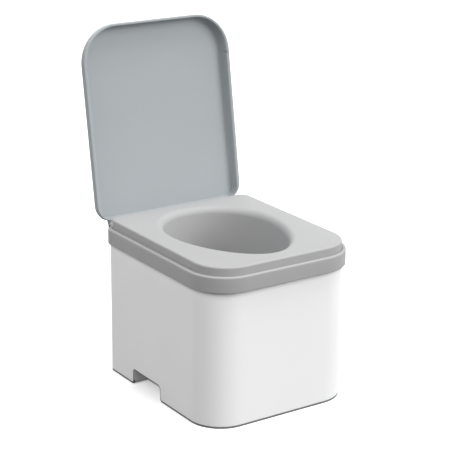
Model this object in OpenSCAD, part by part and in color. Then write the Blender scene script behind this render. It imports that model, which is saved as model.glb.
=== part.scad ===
// Compact composting toilet with a lift-off seat unit, a hinged lid,
// a urine diverter, a front canister and a rear solids bucket.
// Millimetres, +Z up. The origin is on the ground under the middle of the body; the front faces -Y.

/* [Body] */
// Width of the body, side to side
body_w = 328.5; // [315:0.5:345]
// Length of the body, front to back
body_d = 372; // [360:0.5:385]
// Height of the body's rim above the ground
body_top = 268; // [262:0.5:276]
// Thickness of the body's walls
body_wall = 4.5; // [4:0.1:5]
// Thickness of the body's floor
body_floor = 5; // [4:0.5:6]
// Radius of the body's two front corners
body_r_front = 66; // [62:0.5:70]
// Radius of the body's two rear corners
body_r_rear = 18; // [16:0.5:21]
// Rounding of the body's bottom edge
body_edge_r = 3; // [2:0.5:4]
// Height of the locating ribs on the floor
rib_h = 12; // [8:1:16]
// Thickness of the locating ribs
rib_t = 3; // [2:0.5:4]
// Length of the locating ribs
rib_len = 200; // [160:5:230]

/* [Grip notches] */
// Length of each hand grip along the side
grip_len = 100; // [90:1:108]
// Height of each hand grip
grip_h = 31; // [26:0.5:34]
// Depth of each hand grip into the body
grip_depth = 34; // [28:0.5:35]
// Upper corner radius at the grip's front end
grip_r_front = 9; // [6:0.5:12]
// Upper corner radius at the grip's rear end
grip_r_rear = 4; // [3:0.5:8]
// Distance of the grip's middle behind the body's middle
grip_y = 39.5; // [34:0.5:44]
// Wall around each hand grip inside the body
grip_wall = 4; // [3:0.5:4.5]

/* [Feet] */
// Radius of each rubber foot
foot_r = 12; // [9:0.5:15]
// Depth of each foot's recess in the floor, which it fills
foot_recess = 2; // [1.5:0.5:3]
// Distance of each foot's middle from the body's side, front or rear
foot_inset = 46; // [40:1:56]
// Play round a foot in its recess
foot_play = 0.1; // [0.05:0.05:0.3]

/* [Seat frame] */
// Overhang of the frame past the body's sides
frame_over_side = 5.75; // [4:0.25:8]
// Overhang of the frame past the body's front
frame_over_front = 11.5; // [9:0.5:14]
// Overhang of the frame past the body's rear
frame_over_rear = 2; // [1:0.5:4]
// Height of the frame's band
frame_h = 31.7; // [29:0.1:36]
// Radius of the frame's two front corners
frame_r_front = 78.4; // [75:0.1:81]
// Radius of the frame's two rear corners
frame_r_rear = 22; // [20:0.5:25]
// Rounding of the frame's upper shoulder
frame_edge_r = 3; // [1.5:0.5:3.5]
// Gap between the body's rim and the frame
rest_gap = 0.3; // [0.2:0.1:0.6]
// Width of the shelf inside the skirt, where the seat is screwed on
shelf_w = 11; // [9:0.5:12]
// Thickness of the shelf
shelf_t = 5; // [4:0.5:7]
// Depth of the skirt that centres the frame in the body
skirt_h = 16; // [10:1:22]
// Thickness of the skirt
skirt_t = 3; // [2.5:0.1:3.2]
// Clearance between the skirt and the body's inside
skirt_gap = 0.6; // [0.4:0.1:0.8]
// Width of the rubber seal under the frame
seal_w = 2.8; // [2:0.1:3.2]
// Depth of the seal's groove
seal_groove = 2; // [1.5:0.1:2.5]
// Clearance between the seal and the body's rim
seal_gap = 0.05; // [0.05:0.05:0.2]

/* [Seat] */
// Width of the frame's ledge beside the seat
ledge_side = 9.5; // [9:0.25:11]
// Width of the ledge in front of the seat
ledge_front = 7; // [6.5:0.25:9]
// Width of the ledge behind the seat
ledge_rear = 4; // [3.8:0.1:5]
// Height of the seat above the ledge
seat_rise = 16.5; // [14:0.5:17]
// Radius of the seat's two front corners
seat_r_front = 68.7; // [66:0.1:71]
// Radius of the seat's two rear corners
seat_r_rear = 18.8; // [17.5:0.1:20]
// Rounding of the seat's outer top edge
seat_edge_r = 3.5; // [3:0.5:6]
// Thickness of the seat's top
seat_t = 4; // [3:0.5:5]
// Thickness of the seat's side wall
seat_wall = 3.5; // [3:0.25:4]
// Clearance between the seat and the frame
seat_gap = 0.3; // [0.2:0.1:0.5]
// Radius of the screw bosses under the seat
boss_r = 4; // [3.5:0.25:4.25]
// Distance of each screw inside the frame's skirt
screw_in = 4.3; // [4:0.1:5]
// Spacing of the side bosses along the seat
boss_pitch = 95; // [80:5:110]
// Distance of the front bosses from the middle line
boss_front_x = 40; // [30:5:55]
// Distance of the rear bosses from the middle line
boss_rear_x = 80; // [65:5:95]
// Radius of the screws' shanks
screw_r = 2; // [1.5:0.25:2.25]
// Radius of the screws' heads
screw_head_r = 3.6; // [3.2:0.1:4]
// Height of the screws' heads
screw_head_h = 2.4; // [2:0.2:3]
// Grip of the screws in their bosses
screw_bite = 14; // [10:1:20]
// Clearance round the screws
screw_gap = 0.2; // [0.1:0.05:0.3]

/* [Bowl] */
// Width of the seat's flat top beside the opening
bowl_side = 39.5; // [35:0.5:48]
// Width of the seat's flat top in front of and behind the opening
bowl_end = 25.25; // [21:0.25:33]
// Distance of the opening's middle behind the seat's middle
bowl_shift = 3; // [0:0.5:6]
// How much wider the opening's rear is than its front
bowl_egg = 0.172; // [0.1:0.002:0.2]
// Radius of the opening's rolled edge
roll_r = 15; // [11:0.5:17]
// Draft angle of the funnel's wall
funnel_draft = 7; // [5:0.5:8]
// Thickness of the funnel's wall
funnel_t = 3; // [2.5:0.25:3.5]
// Height of the funnel's lower edge above the ground
funnel_z = 188; // [186:0.5:196]

/* [Diverter] */
// Height of the diverter's upper edge above the ground
diverter_top = 244; // [236:1:248]
// Height of the dish's lowest point above the ground
diverter_low = 200; // [197:0.5:204]
// Distance of the diverter's straight wall behind the front of the bucket's mouth
diverter_in = 4; // [2:0.5:6]
// Thickness of the diverter
diverter_t = 2.4; // [2:0.1:2.8]
// Clearance between the diverter and the funnel
diverter_gap = 0.35; // [0.3:0.05:0.5]
// Distance of the drain spout behind the opening's front end
spout_in = 62.25; // [58:0.25:68]
// Outer radius of the drain spout
spout_r = 11; // [9:0.5:12]
// Height of the spout's lower end above the ground
spout_z = 150; // [148:1:154]

/* [Lid] */
// Distance of the lid's sides and front inside the frame
lid_in = 2.5; // [1.5:0.25:3]
// Overhang of the lid past the frame's rear
lid_over = 0.5; // [0:0.25:1]
// Height of the lid
lid_h = 25; // [24.5:0.5:28]
// Depth of the hollow under the lid
lid_hollow = 21.5; // [21:0.25:22]
// Radius of the lid's two front corners
lid_r_front = 75.5; // [73:0.5:77]
// Radius of the lid's two rear corners
lid_r_rear = 30.5; // [28:0.5:32]
// Rounding of the lid's outer edge
lid_edge_r = 17; // [14:0.5:18]
// Rounding inside the lid's hollow
lid_fillet_r = 12; // [8:0.5:12.5]
// Rounding of the lid's free edge
lid_lip_r = 1.2; // [0.6:0.2:1.6]
// Clearance between the lid and the seat
lid_fit = 0.9; // [0.8:0.1:1]
// Gap between the closed lid and the frame's ledge
lid_gap = 0.3; // [0.2:0.1:0.6]
// Distance of the snap nubs in front of the body's middle
snap_y = 112.5; // [104:0.5:116]
// How far each snap nub stands out of the seat's side
snap_out = 0.6; // [0.3:0.05:0.65]
// Radius of each snap nub's round face
snap_r = 8; // [6:0.5:10]
// Height of each snap nub
snap_h = 7.5; // [5:0.5:9]

/* [Hinge] */
// Angle of the open lid from its closed place
open_angle = 99; // [92:1:105]
// Distance of the hinge axis behind the frame
hinge_back = 10.2; // [9.8:0.1:12]
// Distance of the hinge axis below the frame's ledge
hinge_down = 7.6; // [7.2:0.1:9]
// Distance of each knuckle's middle inside the frame's side
hinge_in = 39; // [36:1:60]
// Radius of the knuckles and ears
knuckle_r = 7.2; // [6.5:0.1:7.2]
// Width of each lid knuckle
knuckle_w = 26; // [20:1:30]
// Thickness of each ear on the frame
ear_w = 6; // [5:0.5:8]
// Side play between a knuckle and an ear
knuckle_play = 0.4; // [0.3:0.1:0.8]
// Radius of the hinge pins
pin_r = 2.5; // [2:0.25:3]
// Running clearance round the hinge pins
pin_gap = 0.06; // [0.03:0.01:0.1]
// Wall of the bushes in the knuckles
bush_t = 1.5; // [1.25:0.25:1.75]
// Thickness of each pin's head
pin_head = 1.5; // [1:0.25:2]
// Radius of the clips on the pins' inner ends
clip_r = 5; // [4.5:0.25:6]
// Thickness of the clips
clip_t = 0.8; // [0.6:0.1:1.2]

/* [Canister] */
// Distance of the canister's sides from the body's inside
canister_side = 9.75; // [8:0.25:20]
// Distance of the canister's front from the body's inside
canister_gap = 5.5; // [5:0.5:8]
// Distance between the canister and the bucket's mouth
canister_rear_gap = 8; // [7:0.5:12]
// Height of the canister's shoulder above the ground
canister_top = 142; // [130:1:144]
// Thickness of the canister's wall
canister_t = 2.5; // [2:0.25:3]
// Radius of the canister's two front corners
canister_r_front = 54; // [50:1:58]
// Radius of the canister's two rear corners
canister_r_rear = 22; // [20:1:30]
// Rounding of the canister's top and bottom edges
canister_edge_r = 14; // [10:1:16]
// Outer radius of the canister's neck
neck_r = 27; // [25:0.5:29]
// Thickness of the neck's wall
neck_t = 3.5; // [3:0.25:4]
// Height of the neck above the shoulder
neck_h = 22; // [20:1:23]
// Number of grip flutes round the screw ring
flutes = 24; // [12:2:36]
// Distance of the handle from the middle line
handle_x = 96; // [80:1:104]
// Distance of the handle's middle behind the canister's middle
handle_shift = 3; // [1:0.5:5]
// Length of the handle along the canister
handle_len = 88; // [84:1:90]
// Thickness of the handle's bar and legs
handle_t = 12; // [11:0.5:13]
// Width of the handle
handle_w = 16; // [14:1:20]
// Height of the handle above the shoulder
handle_h = 36; // [34:1:38]
// Width of the lugs that the handle is pinned to
lug_w = 6; // [5:0.5:7]
// Length of the lugs
lug_len = 7; // [6:0.5:7.5]
// Height of the lugs
lug_h = 11; // [9:0.5:12]
// Radius of the handle's pins
handle_pin_r = 1.75; // [1.5:0.25:2]

/* [Bucket] */
// Distance of the bucket's sides from the body's inside, at its mouth
bucket_side = 23.75; // [21:0.25:30]
// Distance of the bucket's mouth from the body's inside, to the rear
bucket_rear = 11.5; // [10.5:0.5:16]
// Height of the funnel's lower edge above the bucket's flange
bucket_drop = 8; // [7:0.5:12]
// Clearance between the bucket's sides and the grips' inner walls
bucket_grip_gap = 2; // [1.5:0.5:6]
// Thickness of the bucket's wall
bucket_t = 3; // [2.5:0.25:3.5]
// Corner radius at the bucket's mouth
bucket_r = 40; // [34:1:46]
// Rounding of the bucket's base edge
bucket_edge_r = 8; // [6:1:10]
// Width of the bucket's flange
flange_w = 7; // [6:0.5:7.5]
// Thickness of the bag ring on the flange
ring_t = 3.5; // [2.5:0.5:4]
// Width of the bag ring's lip round the flange
ring_lip = 1.6; // [1.2:0.1:2]
// Distance of the bail's pivot below the bucket's flange
bail_down = 15; // [14:0.5:18]
// Radius of the bail's wire
bail_r = 2.5; // [2:0.25:2.75]
// Clearance between the bail's arms and the bag ring
bail_gap = 2; // [1.5:0.25:3]
// Clearance between the lowered bail's grip and the canister's screw ring
bail_clear = 4.7; // [4:0.1:6]
// Distance of the lowered bail's crossbar in front of the bucket's mouth
bail_reach = 21; // [21:0.5:22]
// Radius of the bail's bends
bail_bend = 14; // [10:1:18]
// Radius of the grip on the bail
bail_grip_r = 8; // [6.5:0.5:8]
// Length of the grip on the bail
bail_grip_len = 96; // [80:2:120]
// Radius of the bucket's ears
bucket_ear_r = 8; // [6:0.5:9]
// How far the ears stand out past the bucket's mouth
bucket_ear_out = 6.5; // [5:0.5:8]

/* [Hidden] */

// Smoothness of exact round shapes, and points along the arcs of the lofted shapes
round_fn = 96;
arc_front = 12;
arc_rear = 7;
arc_small = 5;
// Overlap that joins pieces of one solid, and the reach of cuts past a face
weld = 0.5;
past = 1;
// Clearance of a container above the floor that carries it
stand_gap = 0.3;

// Body's faces
body_front = -body_d / 2;
body_rear = body_d / 2;
floor_top = body_floor;
// Frame's faces
frame_w = body_w + 2 * frame_over_side;
frame_front = body_front - frame_over_front;
frame_rear = body_rear + frame_over_rear;
frame_bottom = body_top + rest_gap;
frame_top = frame_bottom + frame_h;
shelf_top = frame_bottom + shelf_t;
// Seat's faces
seat_w = frame_w - 2 * ledge_side;
seat_front = frame_front + ledge_front;
seat_rear = frame_rear - ledge_rear;
seat_top = frame_top + seat_rise;
boss_h = seat_top - seat_t + weld - shelf_top;
// The opening is centred on the seat's length, a little behind its middle
bowl_y = (seat_front + seat_rear) / 2 + bowl_shift;
bowl_a = seat_w / 2 - bowl_side;
bowl_b = (seat_rear - seat_front) / 2 - bowl_end;
roll_end = 90 - funnel_draft;
roll_end_z = seat_top - roll_r * (1 - cos(roll_end));
// Lid's faces when closed
lid_w = frame_w - 2 * lid_in;
lid_front = frame_front + lid_in;
lid_rear = frame_rear + lid_over;
lid_z = frame_top + lid_gap;
// Hinge axis
hinge_x = frame_w / 2 - hinge_in;
hinge_y = frame_rear + hinge_back;
hinge_z = frame_top - hinge_down;
ear_in = knuckle_w / 2 + knuckle_play;
ear_out = ear_in + ear_w;
// Screws' distance inside the body's outline, and the shelf's inner edge
boss_in = body_wall + skirt_gap + skirt_t + screw_in;
shelf_in = body_wall + skirt_gap + skirt_t + shelf_w;
// The spout stands in the screw ring, and the bucket and the canister keep clear of it
spout_y = bowl_b - bowl_y - spout_in;
ring_gap = 0.3;
ring_wall = 5;
ring_r = neck_r + ring_gap + ring_wall;
bucket_front = spout_y - ring_r - bail_clear - bail_grip_r - bail_reach;
diverter_y = bucket_front - diverter_in;
canister_back = bucket_front + canister_rear_gap;
// Canister's faces
canister_w = body_w - 2 * (body_wall + canister_side);
canister_front = body_front + body_wall + canister_gap;
handle_y = (canister_back - canister_front) / 2 - handle_shift;
canister_z = floor_top + stand_gap;
neck_top = canister_top + neck_h;
// The screw ring stands over the neck, with the seal between them
seal_t = 1.7;
ring_top_t = 4;
ring_z = canister_top + 6;
seal_z = neck_top;
// Height of the handle's pins, and the play of the lugs in the handle
handle_pin_z = canister_top + 6;
lug_play = 0.3;
// Bucket's faces; its walls lean in towards the base, so that they clear the grips' inner walls
flange_t = 3;
ring_play = 0.4;
bucket_w = body_w - 2 * (body_wall + bucket_side);
bucket_back = body_rear - body_wall - bucket_rear;
bucket_z = floor_top + stand_gap;
bucket_top = funnel_z - bucket_drop;
grip_in = body_w / 2 - grip_depth - grip_wall - bucket_grip_gap;
bucket_lean = (bucket_w / 2 - grip_in) * (bucket_top - bucket_z) / (bucket_top - grip_h - grip_wall);
// The bail's pivot, the place of its arms and their length
bail_y = (bucket_back - bucket_front) / 2;
bail_z = bucket_top - bail_down;
bail_x = bucket_w / 2 + flange_w + ring_play + ring_lip + bail_gap + bail_r;
bail_len = bail_y + bucket_front + bail_reach;

// ---------- Outlines ----------

// Points along an arc of a circle, from one angle to another
function arc(x, y, r, from, to, n) =
  [for (i = [0 : n - 1]) let (a = from + (to - from) * i / n) [x + r * cos(a), y + r * sin(a)]];
// Points along a straight line, without its far end
function line(a, b, n) = [for (i = [0 : n - 1]) a + (b - a) * i / n];
// A rounded rectangle with its own front and rear corner radii, drawn in from its outline by d
function outline(w, front, rear, r_front, r_rear, d, n_front, n_rear, n_side) =
  let (x = w / 2 - d, f = front + d, b = rear - d, rf = r_front - d, rb = r_rear - d)
  concat(
    arc(x - rf, f + rf, rf, -90, 0, n_front),
    line([x, f + rf], [x, b - rb], n_side),
    arc(x - rb, b - rb, rb, 0, 90, n_rear),
    line([x - rb, b], [-x + rb, b], n_side),
    arc(-x + rb, b - rb, rb, 90, 180, n_rear),
    line([-x, b - rb], [-x, f + rf], n_side),
    arc(-x + rf, f + rf, rf, 180, 270, n_front),
    line([-x + rf, f], [x - rf, f], n_side));
// The seat's outline drawn in by d
function seat_outline(d) =
  outline(seat_w, seat_front, seat_rear, seat_r_front, seat_r_rear, d, arc_front, arc_rear, 13);
// A point on the egg-shaped opening drawn in by d, at the angle t
function egg_point(d, t) =
  [(bowl_a - d) * cos(t) * (1 + bowl_egg * sin(t)), bowl_y + (bowl_b - d) * sin(t)];
// The opening drawn in by d, with one point for each point of the seat's outline
function egg_outline(d) =
  [for (p = seat_outline(0)) egg_point(d, atan2((p[1] - bowl_y) / bowl_b, p[0] / bowl_a))];
// An outline lifted to the height z
function at(points, z) = [for (p = points) [p[0], p[1], z]];
// How far the funnel's inner face is drawn in at the height z
function funnel_in(z) = roll_r * sin(roll_end) + (roll_end_z - z) * tan(funnel_draft);

// ---------- Lofts and slabs ----------

// Skin through a list of rings; closed joins the last ring to the first, else both ends are
// capped by fans of triangles round their middles
module loft(rings, closed) {
  n = len(rings[0]);
  m = len(rings);
  bands = closed ? m : m - 1;
  sides = [for (j = [0 : bands - 1]) for (i = [0 : n - 1]) for (half = [0, 1])
    let (k = (j + 1) % m, h = (i + 1) % n)
      half == 0 ? [j * n + i, k * n + h, j * n + h] : [j * n + i, k * n + i, k * n + h]];
  caps = closed ? [] : [for (i = [0 : n - 1]) for (end = [0, 1])
    let (h = (i + 1) % n)
      end == 0 ? [i, h, m * n] : [(m - 1) * n + h, (m - 1) * n + i, m * n + 1]];
  middles = closed ? [] : [for (j = [0, m - 1]) let (a = rings[j][0], b = rings[j][floor(n / 2)]) (a + b) / 2];
  polyhedron(points = concat([for (ring = rings) for (p = ring) p], middles),
    faces = concat(sides, caps));
}

// Section of a slab's edge: a block as wide as reach with a rounded top and bottom edge
module edge_section(reach, h, top_r, low_r) {
  difference() {
    square([reach, h]);
    difference() {
      translate([reach - top_r, h - top_r]) square(top_r + past);
      translate([reach - top_r, h - top_r]) circle(top_r, $fn = round_fn);
    }
    if (low_r > 0) difference() {
      translate([reach - low_r, -past]) square(low_r + past);
      translate([reach - low_r, low_r]) circle(low_r, $fn = round_fn);
    }
  }
}

// One corner of a slab, turned about its own axis
module slab_corner(x, y, turn, r, h, top_r, low_r) {
  translate([x, y, 0]) rotate([0, 0, turn])
    rotate_extrude(angle = 90, $fn = round_fn) edge_section(r, h, top_r, low_r);
}

// One straight side of a slab
module slab_side(x, y, turn, length, reach, h, top_r, low_r) {
  translate([x, y, 0]) rotate([90, 0, turn])
    linear_extrude(length) edge_section(reach, h, top_r, low_r);
}

// A rounded rectangular slab with its own front and rear corner radii and rounded edges
module slab(w, front, rear, r_front, r_rear, h, top_r, low_r) {
  length = rear - front - r_front - r_rear;
  for (side = [-1, 1]) {
    slab_corner(side * (w / 2 - r_front), front + r_front, side < 0 ? 180 : 270, r_front, h, top_r, low_r);
    slab_corner(side * (w / 2 - r_rear), rear - r_rear, side < 0 ? 90 : 0, r_rear, h, top_r, low_r);
  }
  slab_side(w / 2 - r_rear, rear - r_rear, 0, length, r_rear, h, top_r, low_r);
  slab_side(-w / 2 + r_rear, front + r_front, 180, length, r_rear, h, top_r, low_r);
  slab_side(w / 2 - r_front, front + r_front, 270, w - 2 * r_front, r_front, h, top_r, low_r);
  slab_side(-w / 2 + r_rear, rear - r_rear, 90, w - 2 * r_rear, r_rear, h, top_r, low_r);
  translate([-w / 2 + r_rear, front + r_front, 0]) cube([w - 2 * r_rear, length, h]);
}

// A rounded rectangular prism between two heights, drawn in from an outline by d
module prism(w, front, rear, r_front, r_rear, d, from, to) {
  least_r = 1.5;
  x = w / 2 - d;
  rf = max(r_front - d, least_r);
  rb = max(r_rear - d, least_r);
  translate([0, 0, from]) linear_extrude(to - from) {
    for (side = [-1, 1]) {
      translate([side * (x - rf), front + d + rf]) circle(rf, $fn = round_fn);
      translate([side * (x - rb), rear - d - rb]) circle(rb, $fn = round_fn);
    }
    translate([-x, front + d + rf]) square([2 * x, rear - front - 2 * d - rf - rb]);
    translate([-x + rf, front + d]) square([2 * (x - rf), rf]);
    translate([-x + rb, rear - d - rb]) square([2 * (x - rb), rb]);
  }
}

module body_prism(d, from, to) {
  prism(body_w, body_front, body_rear, body_r_front, body_r_rear, d, from, to);
}

module seat_prism(d, from, to) {
  prism(seat_w, seat_front, seat_rear, seat_r_front, seat_r_rear, d, from, to);
}

// ---------- Body ----------

// Outline of a hand grip seen from the side, grown by the wall that goes round it
module grip_outline(grow) {
  low = -past - grow;
  front = grip_y - grip_len / 2 - grow;
  rear = grip_y + grip_len / 2 + grow;
  top = grip_h + grow;
  rf = grip_r_front + grow;
  rb = grip_r_rear + grow;
  translate([front, low]) square([rear - front, top - rf - low]);
  translate([front + rf, low]) square([rear - front - rf - rb, top - low]);
  translate([front + rf, low]) square([rear - front - rf, top - rb - low]);
  translate([front + rf, top - rf]) circle(rf, $fn = round_fn);
  translate([rear - rb, top - rb]) circle(rb, $fn = round_fn);
}

// A hand grip from the body's side inwards
module grip_block(grow) {
  translate([body_w / 2 - grip_depth - grow, 0, 0]) rotate([90, 0, 90])
    linear_extrude(grip_depth + grow + (grow > 0 ? -body_wall / 2 : past)) grip_outline(grow);
}

module body_shell() {
  color("white") difference() {
    union() {
      difference() {
        translate([0, 0, body_top]) mirror([0, 0, 1])
          slab(body_w, body_front, body_rear, body_r_front, body_r_rear,
            body_top, body_edge_r, 1);
        body_prism(body_wall, floor_top, body_top + past);
      }
      intersection() {
        for (side = [0, 1]) mirror([side, 0, 0]) grip_block(grip_wall);
        body_prism(body_wall / 2, body_floor / 2, body_top);
      }
      for (y = [-canister_back + 2, -bucket_front + bucket_lean - 2 - rib_t])
        translate([-rib_len / 2, y, floor_top - weld]) cube([rib_len, rib_t, rib_h + weld]);
    }
    for (side = [0, 1]) mirror([side, 0, 0]) grip_block(0);
    foot_places() translate([0, 0, -past])
      cylinder(r = foot_r + foot_play, h = foot_recess + past, $fn = round_fn);
  }
}

module foot_places() {
  for (x = [-1, 1]) for (y = [-1, 1])
    translate([x * (body_w / 2 - foot_inset), y * (body_d / 2 - foot_inset), 0]) children();
}

module foot_pads() {
  chamfer = 0.6;
  color("dimgray") foot_places() {
    cylinder(r1 = foot_r - chamfer, r2 = foot_r, h = chamfer, $fn = round_fn);
    translate([0, 0, chamfer]) cylinder(r = foot_r, h = foot_recess - chamfer, $fn = round_fn);
  }
}

// ---------- Seat unit ----------

module screw_places() {
  for (x = [-1, 1]) {
    for (y = [-1, 0, 1]) translate([x * (body_w / 2 - boss_in), y * boss_pitch, 0]) children();
    translate([x * boss_front_x, body_front + boss_in, 0]) children();
    translate([x * boss_rear_x, body_rear - boss_in, 0]) children();
  }
}

// Places of the two hinges, with +X outwards at both
module hinge_places() {
  for (side = [0, 1]) mirror([side, 0, 0]) translate([hinge_x, hinge_y, hinge_z]) children();
}

// An extrusion along X of an outline drawn in (Y, Z), centred on its place
module along_x(w) {
  translate([-w / 2, 0, 0]) rotate([90, 0, 90]) linear_extrude(w) children();
}

module seat_frame() {
  color("silver") difference() {
    union() {
      difference() {
        translate([0, 0, frame_bottom])
          slab(frame_w, frame_front, frame_rear, frame_r_front, frame_r_rear, frame_h, frame_edge_r, 1);
        seat_prism(-seat_gap, shelf_top, frame_top + past);
        body_prism(shelf_in, frame_bottom - past, frame_top);
      }
      difference() {
        body_prism(body_wall + skirt_gap, frame_bottom - skirt_h, frame_bottom + weld);
        body_prism(body_wall + skirt_gap + skirt_t, frame_bottom - skirt_h - past, frame_top);
      }
      hinge_places() for (side = [-1, 1]) translate([side * (ear_in + ear_w / 2), 0, 0]) along_x(ear_w) {
        circle(knuckle_r, $fn = round_fn);
        translate([-hinge_back - weld, -knuckle_r]) square([hinge_back + weld, 2 * knuckle_r]);
      }
    }
    // Groove for the seal over the body's rim
    difference() {
      body_prism((body_wall - seal_w) / 2 - 0.1, frame_bottom - past, frame_bottom + seal_groove);
      body_prism((body_wall + seal_w) / 2 + 0.1, frame_bottom - 2 * past, frame_top);
    }
    screw_places() translate([0, 0, frame_bottom - past])
      cylinder(r = screw_r + screw_gap, h = shelf_t + 2 * past, $fn = round_fn);
    hinge_places() rotate([0, 90, 0])
      cylinder(r = pin_r + pin_gap, h = 2 * ear_out + 2 * past, center = true, $fn = round_fn);
  }
}

module rim_seal() {
  color("dimgray") difference() {
    body_prism((body_wall - seal_w) / 2, body_top + seal_gap, frame_bottom + seal_groove);
    body_prism((body_wall + seal_w) / 2, body_top, frame_top);
  }
}

// Rings of the seat moulding's section, from the foot of its outer wall over the top,
// round the rolled edge, down the funnel, and back up underneath
function seat_rings() =
  let (
    low = shelf_top,
    lip = 1.5,
    under_r = roll_r - seat_t,
    end_in = funnel_in(funnel_z))
  concat(
    [at(seat_outline(0), low)],
    [for (i = [0 : 4]) let (a = i * 90 / 4)
      at(seat_outline(seat_edge_r * (1 - cos(a))), seat_top - seat_edge_r * (1 - sin(a)))],
    [for (i = [0 : 8]) let (a = i * roll_end / 8)
      at(egg_outline(roll_r * sin(a)), seat_top - roll_r * (1 - cos(a)))],
    [at(egg_outline(end_in), funnel_z + lip)],
    [at(egg_outline(end_in - funnel_t / 2), funnel_z)],
    [at(egg_outline(end_in - funnel_t), funnel_z + lip)],
    [for (i = [3 : -1 : 0]) let (a = i * roll_end / 3)
      at(egg_outline((roll_r - funnel_t) * sin(a)), seat_top - roll_r + under_r * cos(a))],
    [at(seat_outline(seat_wall + 1), seat_top - seat_t)],
    [at(seat_outline(seat_wall), seat_top - seat_t - 1)],
    [at(seat_outline(seat_wall), low)]);

// A snap nub standing out of the seat's side wall, with a lead-in at its top
module snap_nub(out, h) {
  rise = 1;
  intersection() {
    union() {
      cylinder(r = snap_r, h = h - rise, $fn = round_fn);
      translate([0, 0, h - rise]) cylinder(r1 = snap_r, r2 = snap_r - out, h = rise, $fn = round_fn);
    }
    translate([snap_r - out - seat_wall / 2, -snap_r, 0]) cube([seat_wall, 2 * snap_r, h]);
  }
}

// A web from a boss to the inside of the seat's outer wall, whose outside is at the distance reach
module boss_web(reach) {
  web_t = 2;
  translate([0, -web_t / 2, 0]) cube([reach - seat_wall + weld, web_t, boss_h]);
}

module snap_places(out) {
  for (side = [0, 1]) mirror([side, 0, 0])
    translate([seat_w / 2 + out - snap_r, -snap_y, frame_top + 0.5]) children();
}

module seat() {
  color("lightgray") difference() {
    union() {
      loft(seat_rings(), true);
      screw_places() translate([0, 0, shelf_top])
        cylinder(r = boss_r, h = boss_h, $fn = round_fn);
      // Webs from the bosses to the outer wall
      for (x = [-1, 1]) {
        for (y = [-1, 0, 1]) translate([x * (body_w / 2 - boss_in), y * boss_pitch, shelf_top])
          rotate([0, 0, x < 0 ? 180 : 0]) boss_web(seat_w / 2 - body_w / 2 + boss_in);
        translate([x * boss_front_x, body_front + boss_in, shelf_top])
          rotate([0, 0, -90]) boss_web(body_front + boss_in - seat_front);
        translate([x * boss_rear_x, body_rear - boss_in, shelf_top])
          rotate([0, 0, 90]) boss_web(seat_rear - body_rear + boss_in);
      }
      snap_places(snap_out) snap_nub(snap_out, snap_h);
    }
    screw_places() translate([0, 0, shelf_top - past])
      cylinder(r = screw_r + screw_gap / 4, h = screw_bite + past + 1, $fn = round_fn);
  }
}

module seat_screws() {
  slot_w = 0.9;
  color("silver") screw_places() difference() {
    union() {
      translate([0, 0, frame_bottom - screw_head_h]) cylinder(r = screw_head_r, h = screw_head_h, $fn = 48);
      translate([0, 0, frame_bottom - weld]) cylinder(r = screw_r, h = shelf_t + screw_bite + weld, $fn = 48);
    }
    for (turn = [0, 90]) rotate([0, 0, turn])
      translate([-screw_head_r / 2, -slot_w / 2, frame_bottom - screw_head_h - past])
        cube([screw_head_r, slot_w, screw_head_h / 2 + past]);
  }
}

// ---------- Diverter ----------

// Outline of the diverter's dish: the funnel's front arc drawn in by d, closed by a straight wall
function dish_outline(d, y) =
  let (
    t_end = asin((y - bowl_y) / (bowl_b - d)),
    n_arc = 34,
    n_wall = 14,
    left = egg_point(d, -180 - t_end),
    right = egg_point(d, t_end))
  concat(
    [for (i = [0 : n_arc - 1]) egg_point(d, -180 - t_end + (180 + 2 * t_end) * i / n_arc)],
    line(right, left, n_wall));
// A circle round the spout with one point for each point of the dish's outline
function spout_circle(r) =
  let (c = [0, -spout_y])
  [for (p = dish_outline(0, -diverter_y)) c + r * (p - c) / norm(p - c)];
// Blend of two outlines
function blend(a, b, f) = [for (i = [0 : len(a) - 1]) a[i] * (1 - f) + b[i] * f];

function diverter_rings() =
  let (
    gap = diverter_gap,
    t = diverter_t,
    y = -diverter_y,
    foot = diverter_low + 14,
    wall_in = function(z) funnel_in(z) + gap,
    outer = dish_outline(wall_in(foot), y - gap),
    inner = dish_outline(wall_in(foot) + t, y - t),
    tube_out = spout_circle(spout_r),
    tube_in = spout_circle(spout_r - t))
  concat(
    [at(dish_outline(wall_in(diverter_top) + 0.3, y - 0.5), diverter_top)],
    [at(dish_outline(wall_in(diverter_top - 1), y), diverter_top - 1)],
    [at(outer, foot)],
    [for (f = [0.2, 0.5, 0.8]) at(blend(outer, tube_out, f), foot - t - (foot - diverter_low) * sin(90 * f) )],
    [at(tube_out, diverter_low - t - 4)],
    [at(tube_out, spout_z + 1)],
    [at(spout_circle(spout_r - 0.8), spout_z)],
    [at(spout_circle(spout_r - t + 0.4), spout_z)],
    [at(tube_in, spout_z + 1)],
    [at(tube_in, diverter_low - 3)],
    [for (f = [0.88, 0.8, 0.5, 0.2, 0.06])
      at(blend(inner, tube_in, f), foot - (foot - diverter_low) * sin(90 * f))],
    [at(inner, foot + 4)],
    [at(dish_outline(wall_in(diverter_top - 1) + t, y - t), diverter_top - 1)],
    [at(dish_outline(wall_in(diverter_top) + t - 0.5, y - t + 0.5), diverter_top)]);

module diverter() {
  color("lightgray") loft(diverter_rings(), true);
}

// ---------- Lid ----------

// Turns what is drawn closed to the lid's place at rest, which is open
module opened() {
  translate([0, hinge_y, hinge_z]) rotate([-open_angle, 0, 0]) translate([0, -hinge_y, -hinge_z]) children();
}

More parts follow.
